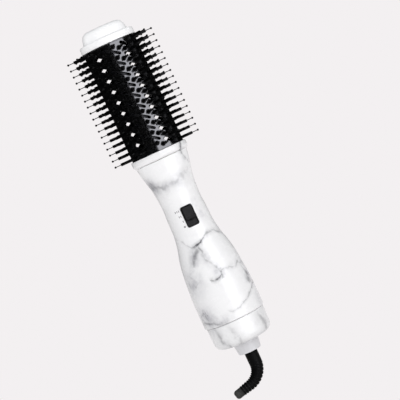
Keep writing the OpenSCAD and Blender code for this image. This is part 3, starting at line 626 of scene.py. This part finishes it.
def barrel_cuts():
    """Points and faces of the cutters for every bristle hole and slot, widening outwards."""
    levels = [(-4 * MM, 0), (-CHAMFER, 0), (0.4 * MM, 0.4 * MM + CHAMFER)]
    holes = [place for back in (0, 1) for place in face_clusters(back)] + list(edge_clusters())
    inner_slots = [place for back in (0, 1) for place in face_slots(back, (-1, 1))]
    outer_slots = [place for back in (0, 1) for place in face_slots(back, (-3, 3))]
    kinds = ((0, HOLE_R, holes), (SLOT_HALF, SLOT_R, inner_slots), (SLOT_HALF, OUTER_SLOT_R, outer_slots))
    verts, faces = [], []
    for half, r, places in kinds:
        outlines = [long_round(half, r + out, z) for z, out in levels]
        more_verts, more_faces = copies(*stack(outlines), places)
        faces += [tuple(len(verts) + i for i in face) for face in more_faces]
        verts += list(more_verts)
    return verts, faces


def barrel():
    """The perforated tube, with softened rims."""
    wall, edge = 1.2 * MM, 0.15 * MM
    outside = [(BARREL_BOTTOM, edge), (BARREL_BOTTOM + edge, 0), (BARREL_TOP - edge, 0), (BARREL_TOP, edge)]
    inside = [(BARREL_BOTTOM, wall), (BARREL_TOP, wall)]
    obj = oval_ring("barrel", *([(z, BARREL_W - out, BARREL_D - out, END_R - out) for z, out in side]
                                for side in (outside, inside)))
    boolean(obj, outwards(mesh_object("cutter", *barrel_cuts())))
    barrel_normals(obj)
    return piece(obj, "body", COATING, "black_gloss", "barrel_tube")


def barrel_normals(obj):
    """Exact normals on the barrel's outer and inner walls, so that reflections stay clean."""
    mesh = obj.data
    tangent_x = END_X + END_R * math.sin(FACE_ANGLE)
    mesh.polygons.foreach_set("use_smooth", [True] * len(mesh.polygons))
    normals = []
    for poly in mesh.polygons:
        for index in poly.vertices:
            v = mesh.vertices[index].co
            if abs(v.x) > END_X + (abs(v.y) / BARREL_D) * (tangent_x - END_X):
                n = Vector((v.x - math.copysign(END_X, v.x), v.y, 0))
            else:
                n = Vector((v.x, v.y + math.copysign(FACE_Y, v.y), 0))
            n.normalize()
            along = n.dot(poly.normal)
            normals.append(n * math.copysign(1, along) if abs(along) > 0.97 else poly.normal.copy())
    mesh.normals_split_custom_set(normals)


def tufts(name, places, node):
    """Bundles of fine bristles, each bristle a tapering, slightly leaning rod of its own length."""
    sides, bristles, golden_angle = 5, 48, 2.39996
    circle = np.stack([np.cos(whole_turn(sides)), np.sin(whole_turn(sides))], 1)
    foot, height, bundle_r = -2.2 * MM, 12 * MM, 1.42 * MM
    verts, faces = [], []
    for place in places:
        m = np.array(place)
        for i in range(bristles):
            # sunflower spacing leaves the middle free for the pin
            share = (i + 3.5) / (bristles + 3.0)
            r = bundle_r * math.sqrt(share)
            a = i * golden_angle + RANDOM.uniform(-0.25, 0.25)
            root = np.array([r * math.cos(a), r * math.sin(a)])
            lean = root * RANDOM.uniform(0.0, 0.07) + RANDOM.normal(0, 0.03 * MM, 2)
            top = height * RANDOM.uniform(0.97, 1.01)
            thick = RANDOM.uniform(0.18, 0.21) * MM
            start = len(verts)
            for t, size in ((0, 1.0), (0.55, 1.0), (0.97, 0.95), (1.0, 0.6)):
                centre = root + lean * t * t
                z = foot + (top - foot) * t
                for c in circle:
                    local = np.array([*(centre + c * thick * size), z])
                    verts.append(m[:3, :3] @ local + m[:3, 3])
            faces += grid_faces(4, sides, True, start)
            faces.append(tuple(start + j for j in reversed(range(sides))))
            faces.append(tuple(start + 3 * sides + j for j in range(sides)))
    obj = smooth(mesh_object(name, verts, faces), math.radians(60))
    return piece(obj, "body", BRISTLE, "bristle_black", node)


def pins(name, places, node):
    """Ball-tipped pins."""
    ball_r, shaft_r, top = 1.1 * MM, 0.45 * MM, 19.2 * MM
    neck_r, centre = shaft_r * 0.85, top - ball_r
    joint = math.acos(neck_r / ball_r)
    outline = [(shaft_r, -2.0 * MM), (shaft_r, 4 * MM), (neck_r, centre - ball_r * math.sin(joint))]
    outline += [(ball_r * math.cos(a), centre + ball_r * math.sin(a))
                for a in np.linspace(-joint * 0.85, 1.35, 8)]
    pin = stack([[(r * math.cos(a), r * math.sin(a), z) for a in whole_turn(12)] for r, z in outline])
    obj = smooth(mesh_object(name, *copies(*pin, places)), math.radians(50))
    return piece(obj, "body", BRISTLE, "bristle_black", node)


def bristles():
    for back, name in enumerate(("front", "back")):
        places = list(face_clusters(back))
        tufts(f"bristles_{name}", places, f"tufts_{name}")
        pins(f"ball_pins_{name}", places, f"pins_{name}")
    places = list(edge_clusters())
    tufts("bristles_sides", places, "tufts_sides")
    pins("ball_pins_sides", places, "pins_sides")


def tip_ring():
    """The thin black bead between the barrel and the cap."""
    low, high = heights("tip_ring")
    w, d = half_size("tip_ring")
    bead = [(low, 0.35), (low + 0.25 * MM, 0.08), (low + 0.6 * MM, 0), (high - 0.35 * MM, 0), (high, 0.2)]
    gap = 0.05 * MM
    obj = oval_ring("barrel_ring", [(z, w - out * MM, d - out * MM) for z, out in bead],
                    [(z, BARREL_W + gap, BARREL_D + gap) for z in (low, high)])
    return piece(smooth(obj), "body", COATING, "black_gloss", "tip_ring")


def cool_tip():
    """The cap: a flange with a rounded shoulder, then a drum with sloping sides and a softly domed top."""
    w, d = half_size("tip_cap")
    shoulder = CAP_BOTTOM + 7.5 * MM
    profile = [(CAP_BOTTOM, 0.35), (CAP_BOTTOM + 0.35 * MM, 0.0)]
    r = 2.0
    for a in np.radians(np.linspace(0, 80, 9)):
        profile.append((shoulder - r * MM + r * MM * math.sin(a), r - r * math.cos(a)))
    profile += [(shoulder + 0.02 * MM, 3.2), (shoulder + 0.15 * MM, 4.1), (shoulder + 0.7 * MM, 4.9),
                (shoulder + 1.6 * MM, 5.2), (CAP_TOP - 6.0 * MM, 6.4), (CAP_TOP - 4.2 * MM, 7.1),
                (CAP_TOP - 2.7 * MM, 8.2), (CAP_TOP - 1.5 * MM, 9.6), (CAP_TOP - 0.7 * MM, 11.2),
                (CAP_TOP - 0.2 * MM, 13.2), (CAP_TOP, 15.6)]
    angles = (np.arange(192) + 0.5) * 2 * math.pi / 192
    outer = [[(x, y, z) for x, y in oval(w - out * MM, d - out * 0.93 * MM, angles)] for z, out in profile]
    obj = mesh_object("cool_tip", *stack(outer))
    wall = 1.8 * MM
    hollow = [(CAP_BOTTOM - MM, wall), (shoulder - wall, wall), (shoulder - wall + 0.3 * MM, wall + 5 * MM),
              (CAP_TOP - 5 * MM, wall + 7 * MM), (CAP_TOP - 2.4 * MM, wall + 11 * MM)]
    inner = stack([[(x, y, z) for x, y in oval(w - out, d - out, angles)] for z, out in hollow])
    boolean(outwards(obj), outwards(mesh_object("hollow", *inner)))
    return piece(smooth(obj, math.radians(40)), "body", CAP, "white_plastic", "tip_cap")


# ---------------- neck and handle

def neck_collar():
    """The oval collar under the barrel, with a rounded rim at its foot."""
    w, d = half_size("neck_collar")
    height = COLLAR_TOP - COLLAR_BOTTOM
    outer = [(0, 2.3), (0.25, 1.75), (0.8, 1.0), (1.8, 0.35), (3.0, 0.04), (3.8, 0), (height / MM - 0.7, 0),
             (height / MM - 0.25, 0.12), (height / MM, 0.5)]
    levels = [(COLLAR_BOTTOM + z * MM, w - out * MM, d - out * MM) for z, out in outer]
    wall = 3.2 * MM
    inner = [(z, w - wall, d - wall) for z in (COLLAR_BOTTOM, COLLAR_TOP)]
    obj = oval_ring("collar", levels, inner)
    return piece(smooth(obj), "body", MARBLE, "marble_plastic", "neck_collar")


# The handle grows from its waist by these shares of the way to each end: (share of height, share of growth)
WAIST_Z = 2 * MM
WAIST_R = 20.8 * MM
NECK_W, NECK_D = 28.1 * MM, 20 * MM
HANDLE_WALL = 2.2 * MM
UPPER_STATIONS = [(0.19, 0.055), (0.42, 0.2), (0.6, 0.46), (0.78, 0.73), (1, 1)]
LOWER_STATIONS = [(0.08, 0.05), (0.22, 0.1), (0.33, 0.29), (0.42, 0.56), (0.54, 0.78), (0.75, 0.975),
                  (0.88, 1)]


def handle_stations():
    """Rows of height, half width and half depth, lowest first."""
    rows = [(HANDLE_BOTTOM + 2 * MM, TAIL_R, TAIL_R)]
    for along, grown in reversed(LOWER_STATIONS):
        r = WAIST_R + (TAIL_R - WAIST_R) * grown
        rows.append((WAIST_Z + (HANDLE_BOTTOM - WAIST_Z) * along, r, r))
    rows.append((WAIST_Z, WAIST_R, WAIST_R))
    for along, grown in UPPER_STATIONS:
        rows.append((WAIST_Z + (HANDLE_TOP - WAIST_Z) * along,
                     WAIST_R + (NECK_W - WAIST_R) * grown, WAIST_R + (NECK_D - WAIST_R) * grown))
    return np.array(rows)


def handle_levels(steps=10):
    """The handle's outline, finely stepped, with rounded rims."""
    s = handle_stations()
    slopes = [(s[min(i + 1, len(s) - 1)] - s[max(i - 1, 0)]) for i in range(len(s))]
    slopes = [k / k[0] for k in slopes]
    levels = []
    for i in range(len(s) - 1):
        h = s[i + 1][0] - s[i][0]
        for t in np.arange(steps) / steps:
            levels.append(s[i] * (2 * t ** 3 - 3 * t ** 2 + 1) + s[i + 1] * (3 * t ** 2 - 2 * t ** 3)
                          + slopes[i] * h * (t ** 3 - 2 * t ** 2 + t) + slopes[i + 1] * h * (t ** 3 - t ** 2))
    levels.append(s[-1])
    r = 0.9 * MM
    bottom = []
    for a in np.radians(np.linspace(-80, 0, 7)):
        rim = TAIL_R - r * (1 - math.cos(a))
        bottom.append((HANDLE_BOTTOM + r * (1 + math.sin(a)), rim, rim))
    top_edge = 0.3 * MM
    z, w, d = levels[-1]
    levels[-1] = np.array((z - top_edge, w, d))
    levels.append(np.array((z, w - top_edge, d - top_edge)))
    return np.array(bottom + [tuple(l) for l in levels])


def surface_y(x, z):
    """Depth of the handle's front surface at a place seen from the front."""
    levels = handle_levels()
    w = np.interp(z, levels[:, 0], levels[:, 1])
    d = np.interp(z, levels[:, 0], levels[:, 2])
    angles = np.linspace(math.pi, 2 * math.pi, 361)
    points = oval(w, d, angles)
    return float(np.interp(x, points[:, 0], points[:, 1]))


def half_shell(name, a0, steps=96):
    """One half of the handle, with softened edges along the parting line."""
    levels = handle_levels()
    angles = a0 + np.linspace(0, math.pi, steps + 1)
    edge_in = 0.22 * MM
    verts = []
    for z, w, d in levels:
        outer = oval(w, d, angles)
        for end in (0, -1):
            outer[end, 0] -= math.copysign(edge_in, outer[end, 0])
        inner = oval(w - HANDLE_WALL, d - HANDLE_WALL, angles[::-1])
        seam = 0.03 * MM * (1 if a0 < 1 else -1)
        loop = np.concatenate([outer, inner])
        for index in (0, steps, steps + 1, 2 * steps + 1):
            loop[index, 1] = seam
        verts += [(x, y, z) for x, y in loop]
    n = 2 * (steps + 1)
    faces = grid_faces(len(levels), n, True)
    for row in (0, (len(levels) - 1) * n):
        faces += [(row + j, row + j + 1, row + n - 2 - j, row + n - 1 - j) for j in range(steps)]
    return outwards(mesh_object(name, verts, faces))


def rounded_rectangle(w, h, r, steps=8):
    """Outline of (x, z) points about the origin."""
    out = []
    for cx, cz, a0 in ((1, 1, 0), (-1, 1, 90), (-1, -1, 180), (1, -1, 270)):
        out += round_corner(cx * (w / 2 - r), cz * (h / 2 - r), r, a0, a0 + 90, steps)
    return out


def bar_stack(name, levels, centre_z):
    """A solid through rounded rectangles (width, height, corner radius, y) about the switch's middle."""
    outlines = [[(x, y, centre_z + z) for x, z in rounded_rectangle(w, h, r)] for w, h, r, y in levels]
    return outwards(mesh_object(name, *stack(outlines)))


SWITCH_Z = (SWITCH_LOW.z + SWITCH_HIGH.z) / 2
SWITCH_W = SWITCH_HIGH.x - SWITCH_LOW.x
SWITCH_H = SWITCH_HIGH.z - SWITCH_LOW.z
SCREWS = [(-9 * MM, -38 * MM), (9 * MM, -38 * MM), (-20 * MM, -72 * MM), (20 * MM, -72 * MM)]


def rod(name, x, z, y0, y1, r):
    """A round rod from front to back."""
    outlines = [[(x + r * math.cos(a), y, z + r * math.sin(a)) for a in whole_turn(40)] for y in (y0, y1)]
    return outwards(mesh_object(name, *stack(outlines)))


def handle_front():
    """The front half, with the switch's window."""
    obj = half_shell("handle_front_shell", math.pi)
    gap = 0.12 * MM
    window = [(SWITCH_W + gap, SWITCH_H + gap, 2.3 * MM, y) for y in (-30 * MM, -12 * MM)]
    boolean(obj, bar_stack("window", window, SWITCH_Z))
    return piece(smooth(obj), "body", MARBLE, "marble_plastic", "handle_front")


def handle_back():
    """The back half, with its screw bosses and recesses."""
    obj = half_shell("handle_back_shell", 0.0)
    for x, z in SCREWS:
        boolean(obj, rod("boss", x, z, 0.2 * MM, 18 * MM, 4 * MM), "UNION")
    for x, z in SCREWS:
        boolean(obj, rod("recess", x, z, 7.5 * MM, 40 * MM, 2.9 * MM))
        boolean(obj, rod("bore", x, z, -MM, 12 * MM, 1.5 * MM))
    return piece(smooth(obj), "body", MARBLE, "marble_plastic", "handle_back")


def switch_frame():
    """The window's frame: a rounded rim round a plain floor, with a slot for the slider's stem."""
    y_front, y_back, floor_y = SWITCH_LOW.y, SWITCH_HIGH.y, -19.4 * MM
    rim, half_travel = 0.75 * MM, 3 * MM
    outer = [(0, 2.2, y_back), (0, 2.2, y_front + 0.35 * MM),
             (0.2, 2.1, y_front + 0.1 * MM), (0.6, 1.9, y_front)]
    levels = [(SWITCH_W - out * MM, SWITCH_H - out * MM, r * MM, y) for out, r, y in outer]
    obj = bar_stack("switch_rim", levels, SWITCH_Z)
    inner = [(1.2, 1.9, y_front - 0.4 * MM), (0, 1.5, y_front + 0.2 * MM), (0, 1.5, floor_y)]
    w, h = SWITCH_W - 2 * rim, SWITCH_H - 2 * rim
    levels = [(w + out * MM, h + out * MM, r * MM, y) for out, r, y in inner]
    boolean(obj, bar_stack("opening", levels, SWITCH_Z))
    stem_z = (SLIDER_LOW.z + SLIDER_HIGH.z) / 2
    levels = [(3.4 * MM, 9.6 * MM, 0.4 * MM, y) for y in (floor_y - MM, y_back + MM)]
    boolean(obj, bar_stack("stem_slot", levels, stem_z - half_travel))
    return piece(smooth(obj), "body", SWITCH, "switch_black", "switch_frame")


def thumb_relief(x, z, w, h):
    """How far the thumb pad's face stands back from its highest plane, about the pad's middle."""
    edge = min(w / 2 - abs(x), h / 2 - abs(z))
    back = 0.75 * MM * max(0.0, 1 - edge / (0.9 * MM)) ** 2
    back += 0.15 * MM * (1 - (z / (h / 2)) ** 2)
    from_bottom = z + h / 2
    if from_bottom < 4.4 * MM:
        ridge = math.cos(2 * math.pi * (from_bottom - 1.2 * MM) / (1.15 * MM))
        if from_bottom > 0.8 * MM and edge > 0.5 * MM:
            back -= 0.16 * MM * (1 + ridge) / 2 + (0.25 * MM if from_bottom < 1.6 * MM else 0)
    elif edge > 0.9 * MM:
        turns = 2 * math.pi / (1.1 * MM)
        back -= 0.12 * MM * max(0.0, math.cos(turns * x) * math.cos(turns * from_bottom))
    return back


def switch_slider():
    """The thumb slider: a crowned pad with fine raised grips above and three ridges below."""
    low, high = SLIDER_LOW, SLIDER_HIGH
    w, h = high.x - low.x, high.z - low.z
    middle = (low.z + high.z) / 2
    face, back = -22.7 * MM, -19.55 * MM
    columns, rows = 89, 117
    xs, zs = np.linspace(-w / 2, w / 2, columns), np.linspace(-h / 2, h / 2, rows)
    grid = [(x, face + thumb_relief(x, z, w, h), middle + z) for z in zs for x in xs]
    verts = grid + [(x, back, z) for x, _, z in grid]
    n = rows * columns
    faces = grid_faces(rows, columns, False) + grid_faces(rows, columns, False, n, True)
    rim = list(range(columns))
    rim += [i * columns + columns - 1 for i in range(1, rows)]
    rim += [(rows - 1) * columns + j for j in range(columns - 2, -1, -1)]
    rim += [i * columns for i in range(rows - 2, 0, -1)]
    faces += [(a, b, n + b, n + a) for a, b in zip(rim, rim[1:] + rim[:1])]
    obj = outwards(mesh_object("thumb_slider", verts, faces))
    stem = bar_stack("stem", [(3 * MM, 3 * MM, 0.3 * MM, y) for y in (-20 * MM, -15.4 * MM)], middle)
    boolean(obj, stem, "UNION")
    return piece(smooth(obj, math.radians(50)), "slider", SWITCH, "switch_black", "switch_slider")


def surface_patch(outline_a, outline_b, lift):
    """A thin closed strip on the handle's front between two rows of (x, z) points."""
    rows = (outline_a, outline_b)
    verts = [(x, surface_y(x, z) - out, z) for out in (0.0, lift) for row in rows for x, z in row]
    n = len(outline_a)
    a, b, c, d = 0, n, 2 * n, 3 * n
    faces = []
    for j in range(n - 1):
        faces += [(a + j, a + j + 1, b + j + 1, b + j), (c + j, d + j, d + j + 1, c + j + 1),
                  (a + j, c + j, c + j + 1, a + j + 1), (b + j, b + j + 1, d + j + 1, d + j)]
    faces += [(a, b, d, c), (a + n - 1, c + n - 1, d + n - 1, b + n - 1)]
    return verts, faces


def switch_marks():
    """Four plain marks beside the switch: three, two and one strokes, and a ring for off."""
    lift = 0.04 * MM
    stroke, tall, pitch, gap = 0.6 * MM, 2.0 * MM, 5.6 * MM, 1.7 * MM
    right = SWITCH_LOW.x - 1.7 * MM
    top = SWITCH_Z + 1.5 * pitch
    verts, faces = [], []

    def add(a, b):
        start = len(verts)
        v, f = surface_patch(a, b, lift)
        verts.extend(v)
        faces.extend(tuple(start + i for i in face) for face in f)

    for row, strokes in enumerate((3, 2, 1)):
        z = top - row * pitch
        for i in range(strokes):
            x = right - i * gap
            add(*([(at, z - tall / 2), (at, z + tall / 2)] for at in (x - stroke, x)))
    z, r = top - 3 * pitch, tall / 2
    x = right - r
    ring = np.linspace(0, 2 * math.pi, 33)
    add(*([(x + at * math.cos(a), z + at * math.sin(a)) for a in ring] for at in (r, r - stroke)))
    return piece(outwards(mesh_object("switch_marks", verts, faces)), "body", INK, "grey_plastic")


# ---------------- tail

def cover_corner(r, offset, start, stop, steps):
    """The cover's rounded lower corner, brought in by an offset."""
    corner, taper = 7.6 * MM, 0.3 * MM
    return [(r - taper - corner + (corner - offset) * math.cos(a),
             COVER_BOTTOM + MM + corner - (corner - offset) * math.sin(a))
            for a in np.radians(np.linspace(start, stop, steps))]


def rear_cover():
    """The intake cover: rounded cup with a ring of radial air slots in its end."""
    wall, bore, lip = 1.7 * MM, 14.8 * MM, 0.4 * MM
    r, top, bottom = COVER_R, COVER_TOP, COVER_BOTTOM
    outer = [(r - lip, top), (r - lip * 0.3, top - lip * 0.3), (r, top - lip)]
    outer += cover_corner(r, 0, 0, 80, 14)
    outer += [(bore + 4 * MM, bottom + 0.12 * MM), (bore + 0.5 * MM, bottom), (bore, bottom + 0.4 * MM)]
    inner = [(bore, bottom + wall), *cover_corner(r, wall, 80, 0, 8), (r - wall, top - lip), (r - wall, top)]
    obj = lathe("intake_cover", outer + inner, 192)
    slots, slot_r, slot_half, slot_at, off_axis = 30, 0.9 * MM, 2.7 * MM, 20.6 * MM, 0.1
    ends = [(math.copysign(slot_half, math.cos(a)) + slot_at + slot_r * math.cos(a), slot_r * math.sin(a))
            for a in whole_turn(20) + off_axis]
    for i in range(slots):
        turn = Matrix.Rotation(i * 2 * math.pi / slots, 4, "Z")
        levels = (bottom - 3 * MM, bottom + 5 * MM)
        outlines = [[tuple(turn @ Vector((x, y, z))) for x, y in ends] for z in levels]
        boolean(obj, outwards(mesh_object("air_slot", *stack(outlines))))
    return piece(smooth(obj), "rear", MARBLE, "marble_plastic", "rear_cover")


def cord_collar():
    """The pale cone that the cord's sleeve comes out of."""
    low, high = CORD_COLLAR_BOTTOM, CORD_COLLAR_TOP
    tip_r, root_r, cone_top = 12.2 * MM, 14.2 * MM, COVER_BOTTOM + 3 * MM
    edge = 0.7 * MM
    outer = [(root_r, high), (root_r, cone_top), (tip_r + 0.1 * MM, low + edge)]
    outer += round_corner(tip_r - edge, low + edge, edge, -10, -85, 6)
    bore, socket = 7.0 * MM, 8.6 * MM
    inner = [(7.6 * MM, low), (bore, low + 0.6 * MM), (bore, low + 2 * MM)]
    inner += [(socket, low + 2 * MM), (socket, high)]
    obj = lathe("cord_guard", outer + inner, 128)
    return piece(smooth(obj), "body", WHITE, "white_plastic", "cord_collar")


BEND_R = 19.5 * MM
BEND_ANGLE = math.radians(77)
BEND_Z = -178.5 * MM
TAIL_OUT = 16 * MM


def cord_path(d):
    """Centre and direction of the cord at a distance past the start of its bend; negative is above it."""
    bend_len = BEND_R * BEND_ANGLE
    if d <= 0:
        return Vector((0, 0, BEND_Z - d)), Vector((0, 0, -1))
    a = min(d, bend_len) / BEND_R
    centre = Vector((-BEND_R * (1 - math.cos(a)), 0, BEND_Z - BEND_R * math.sin(a)))
    along = Vector((-math.sin(a), 0, -math.cos(a)))
    return centre + along * max(0.0, d - bend_len), along


def sweep(name, stations, steps=72):
    """A closed solid swept along the cord's path through (distance, radius) stations."""
    outlines = []
    side = Vector((0, 1, 0))
    for d, r in stations:
        centre, along = cord_path(d)
        up = along.cross(side)
        outlines.append([tuple(centre + r * (math.cos(a) * side + math.sin(a) * up))
                         for a in whole_turn(steps)])
    return outwards(mesh_object(name, *stack(outlines)))


def sleeve_rubber():
    """Black rubber, paler in its grooves as a painted highlight on the ribs, and paler at its tip."""
    n = Nodes("sleeve_rubber")
    # the 'pale' attribute carries the painted highlight in the grooves and the paler tip
    pale = n.new("Attribute")
    pale.attribute_name = "pale"
    uneven = n.spread(n.noise(700, 3), 0.3, 0.7, 0.75, 1.0)
    share = n.math("MULTIPLY", pale.outputs["Fac"], uneven)
    # the paler grey is a painted highlight in the grooves, and the tip's paler tone
    tint = n.mix(share, (0.0018, 0.0018, 0.0019), (0.05, 0.05, 0.048))
    rough = n.spread(n.noise(220, 4), 0.3, 0.7, 0.42, 0.55)
    return n.finish(tint, rough, n.bump(n.noise(1800, 2), 0.00002), Specular_IOR_Level=0.06)


def strain_relief():
    """Smooth rubber sleeve that turns into soft ribs round the bend and ends in a plain rounded tip."""
    top = -(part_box("swivel_spool")[0].z - BEND_Z)
    full, slim, pitch, ring_steps = 6.9 * MM, 4.9 * MM, 3.1 * MM, 14
    end = BEND_R * BEND_ANGLE + TAIL_OUT
    ribs_start, ribs_end = -1.9 * MM, end - 6.2 * MM
    # Stations of (distance, radius, paleness); the paleness is a painted highlight in the grooves and the
    # paler tone of the tip
    stations = [(top, full - 0.3 * MM, 0), (top + 0.3 * MM, full, 0)]
    stations += [(top + MM + i * (-3.2 * MM - top) / 8, full, 0) for i in range(9)]
    for step in range(int((ribs_end - ribs_start) / pitch * ring_steps)):
        d = step * pitch / ring_steps + ribs_start
        share = max(0.0, d / end)
        phase = ((d - ribs_start) % pitch) / pitch
        valley = max(0.0, math.cos(2 * math.pi * (phase - 0.5)) - 0.25) / 0.75
        depth = min(1.0, (d + 4 * MM) / (16 * MM)) * 0.7 * MM
        # painted highlight: the grooves are made paler, more so towards the sleeve's end
        stations.append((d, full + (slim - full) * share - depth * valley ** 0.7, 0.9 * valley * share ** 2))
    tip, tip_r, r = end + 2.8 * MM, 4.8 * MM, 3.4 * MM
    stations += [(ribs_end + t * (tip - r - ribs_end), tip_r, 0.5 + 0.5 * t) for t in (0.05, 0.4, 0.75)]
    for step in range(9):
        a = step * math.pi / 18
        stations.append((tip - r + r * math.sin(a), tip_r - r + r * math.cos(a), 1))
    obj = sweep("strain_sleeve", [row[:2] for row in stations])
    # painted highlight in the grooves and the paler tip, stored as a point attribute
    pale = obj.data.attributes.new("pale", "FLOAT", "POINT")
    ring = len(obj.data.vertices) // len(stations)
    pale.data.foreach_set("value", [row[2] for row in stations for _ in range(ring)])
    return piece(smooth(obj, math.radians(55)), "swivel", sleeve_rubber(), "black_rubber", "strain_relief")


for build in (barrel, bristles, tip_ring, cool_tip, neck_collar, handle_front, handle_back, switch_frame,
              switch_slider, switch_marks, rear_cover, cord_collar, strain_relief):
    build()


# ---------------- stage, light and camera

BACKGROUND = (0.896, 0.871, 0.879)


def floor():
    """A pale floor that melts into the background away from the object."""
    obj = mesh_object("floor", [(-6, -6, 0), (6, -6, 0), (6, 6, 0), (-6, 6, 0)], [(0, 1, 2, 3)])
    obj.location.z = cad_low.z - 0.22
    n = Nodes("floor")
    length = n.new("VectorMath")
    length.operation = "LENGTH"
    n.link(n.place, length.inputs[0])
    away = n.spread(length.outputs["Value"], 0.1, 0.6)
    n.finish((0.88, 0.88, 0.88), 0.9)
    glow = n.new("Emission", Color=(*BACKGROUND, 1))
    mixed = choose(n.tree, away, n.shader.outputs[0], glow.outputs[0])
    n.link(mixed, n.tree.nodes["Material Output"].inputs["Surface"])
    obj.data.materials.append(n.material)


def background(tree, colour, strength):
    """A plain background shader; its strength is a number or another node's output."""
    node = new_node(tree, "Background", Color=(*colour, 1))
    if isinstance(strength, float):
        node.inputs["Strength"].default_value = strength
    else:
        tree.links.new(strength, node.inputs["Strength"])
    return node.outputs[0]


def choose(tree, share, first, second):
    """The second shader where the share is one, and the first elsewhere."""
    node = new_node(tree, "MixShader")
    for source, socket in zip((share, first, second), node.inputs):
        tree.links.new(source, socket)
    return node.outputs[0]


def world():
    """Pale to the camera, bright to matt surfaces, more so from the front, and dim in reflections."""
    sky = bpy.data.worlds.new("studio")
    bpy.context.scene.world = sky
    sky.use_nodes = True
    tree = sky.node_tree
    facing = axes(tree, new_node(tree, "TexCoord").outputs["Generated"])["Y"]
    fill = background(tree, (0.97, 0.98, 1.0), map_range(tree, facing, -0.9, 0.6, 1.0, 0.3))
    rays = new_node(tree, "LightPath").outputs
    lit = choose(tree, rays["Is Glossy Ray"], fill, background(tree, (0.8, 0.8, 0.8), 0.02))
    seen = choose(tree, rays["Is Camera Ray"], lit, background(tree, BACKGROUND, 1.0))
    tree.links.new(seen, tree.nodes["World Output"].inputs["Surface"])


def softbox(name, azimuth, height, distance, width, tall, watts, mirrored=False):
    """An area light aimed at the object; azimuth is counted from the front to the right."""
    light = bpy.data.lights.new(name, "AREA")
    light.shape = "RECTANGLE"
    light.size, light.size_y = width, tall
    light.energy = watts
    light.color = (0.92, 0.925, 1.0) if mirrored else (1.0, 1.0, 1.0)
    obj = bpy.data.objects.new(name, light)
    a = math.radians(azimuth)
    obj.location = (distance * math.sin(a), -distance * math.cos(a), height)
    obj.rotation_mode = "QUATERNION"
    obj.rotation_quaternion = (Vector((0, 0, 0.02)) - obj.location).to_track_quat("-Z", "Y")
    obj.visible_glossy = mirrored
    obj.visible_diffuse = not mirrored
    obj.visible_camera = False
    bpy.context.scene.collection.objects.link(obj)


def lights():
    softbox("strip_right", 26, 0.1, 1.3, 1.04, 2.4, 40, mirrored=True)
    softbox("key_right", 24, 0.5, 1.5, 1.2, 1.2, 5)
    softbox("fill_left", -30, 0.4, 1.6, 1.2, 1.6, 3)


def camera():
    """A long lens level with the lower barrel, rolled so that the brush leans to the left."""
    distance, field = 1.49, math.radians(15.6)
    turn, roll = math.radians(-5.4), math.radians(24.8)
    eye_height = 58 * MM
    aim_right, aim_z = 18 * MM, -3.5 * MM
    right = Vector((math.cos(turn), math.sin(turn), 0))
    back = Vector((math.sin(turn), -math.cos(turn), 0))
    aim = right * aim_right + Vector((0, 0, aim_z))
    eye = aim + back * distance
    eye.z = eye_height
    forward = (aim - eye).normalized()
    level = forward.cross(Vector((0, 0, 1))).normalized()
    up = level.cross(forward)
    x_axis = level * math.cos(roll) - up * math.sin(roll)
    y_axis = level * math.sin(roll) + up * math.cos(roll)
    lens = bpy.data.cameras.new("camera")
    lens.sensor_width = 36
    lens.lens = lens.sensor_width / 2 / math.tan(field / 2)
    lens.clip_start, lens.clip_end = 0.05, 50
    obj = bpy.data.objects.new("camera", lens)
    obj.matrix_world = Matrix.Translation(eye) @ Matrix((x_axis, y_axis, -forward)).transposed().to_4x4()
    bpy.context.scene.collection.objects.link(obj)
    bpy.context.scene.camera = obj


floor()
world()
lights()
camera()
bpy.context.scene.view_settings.view_transform = "Standard"
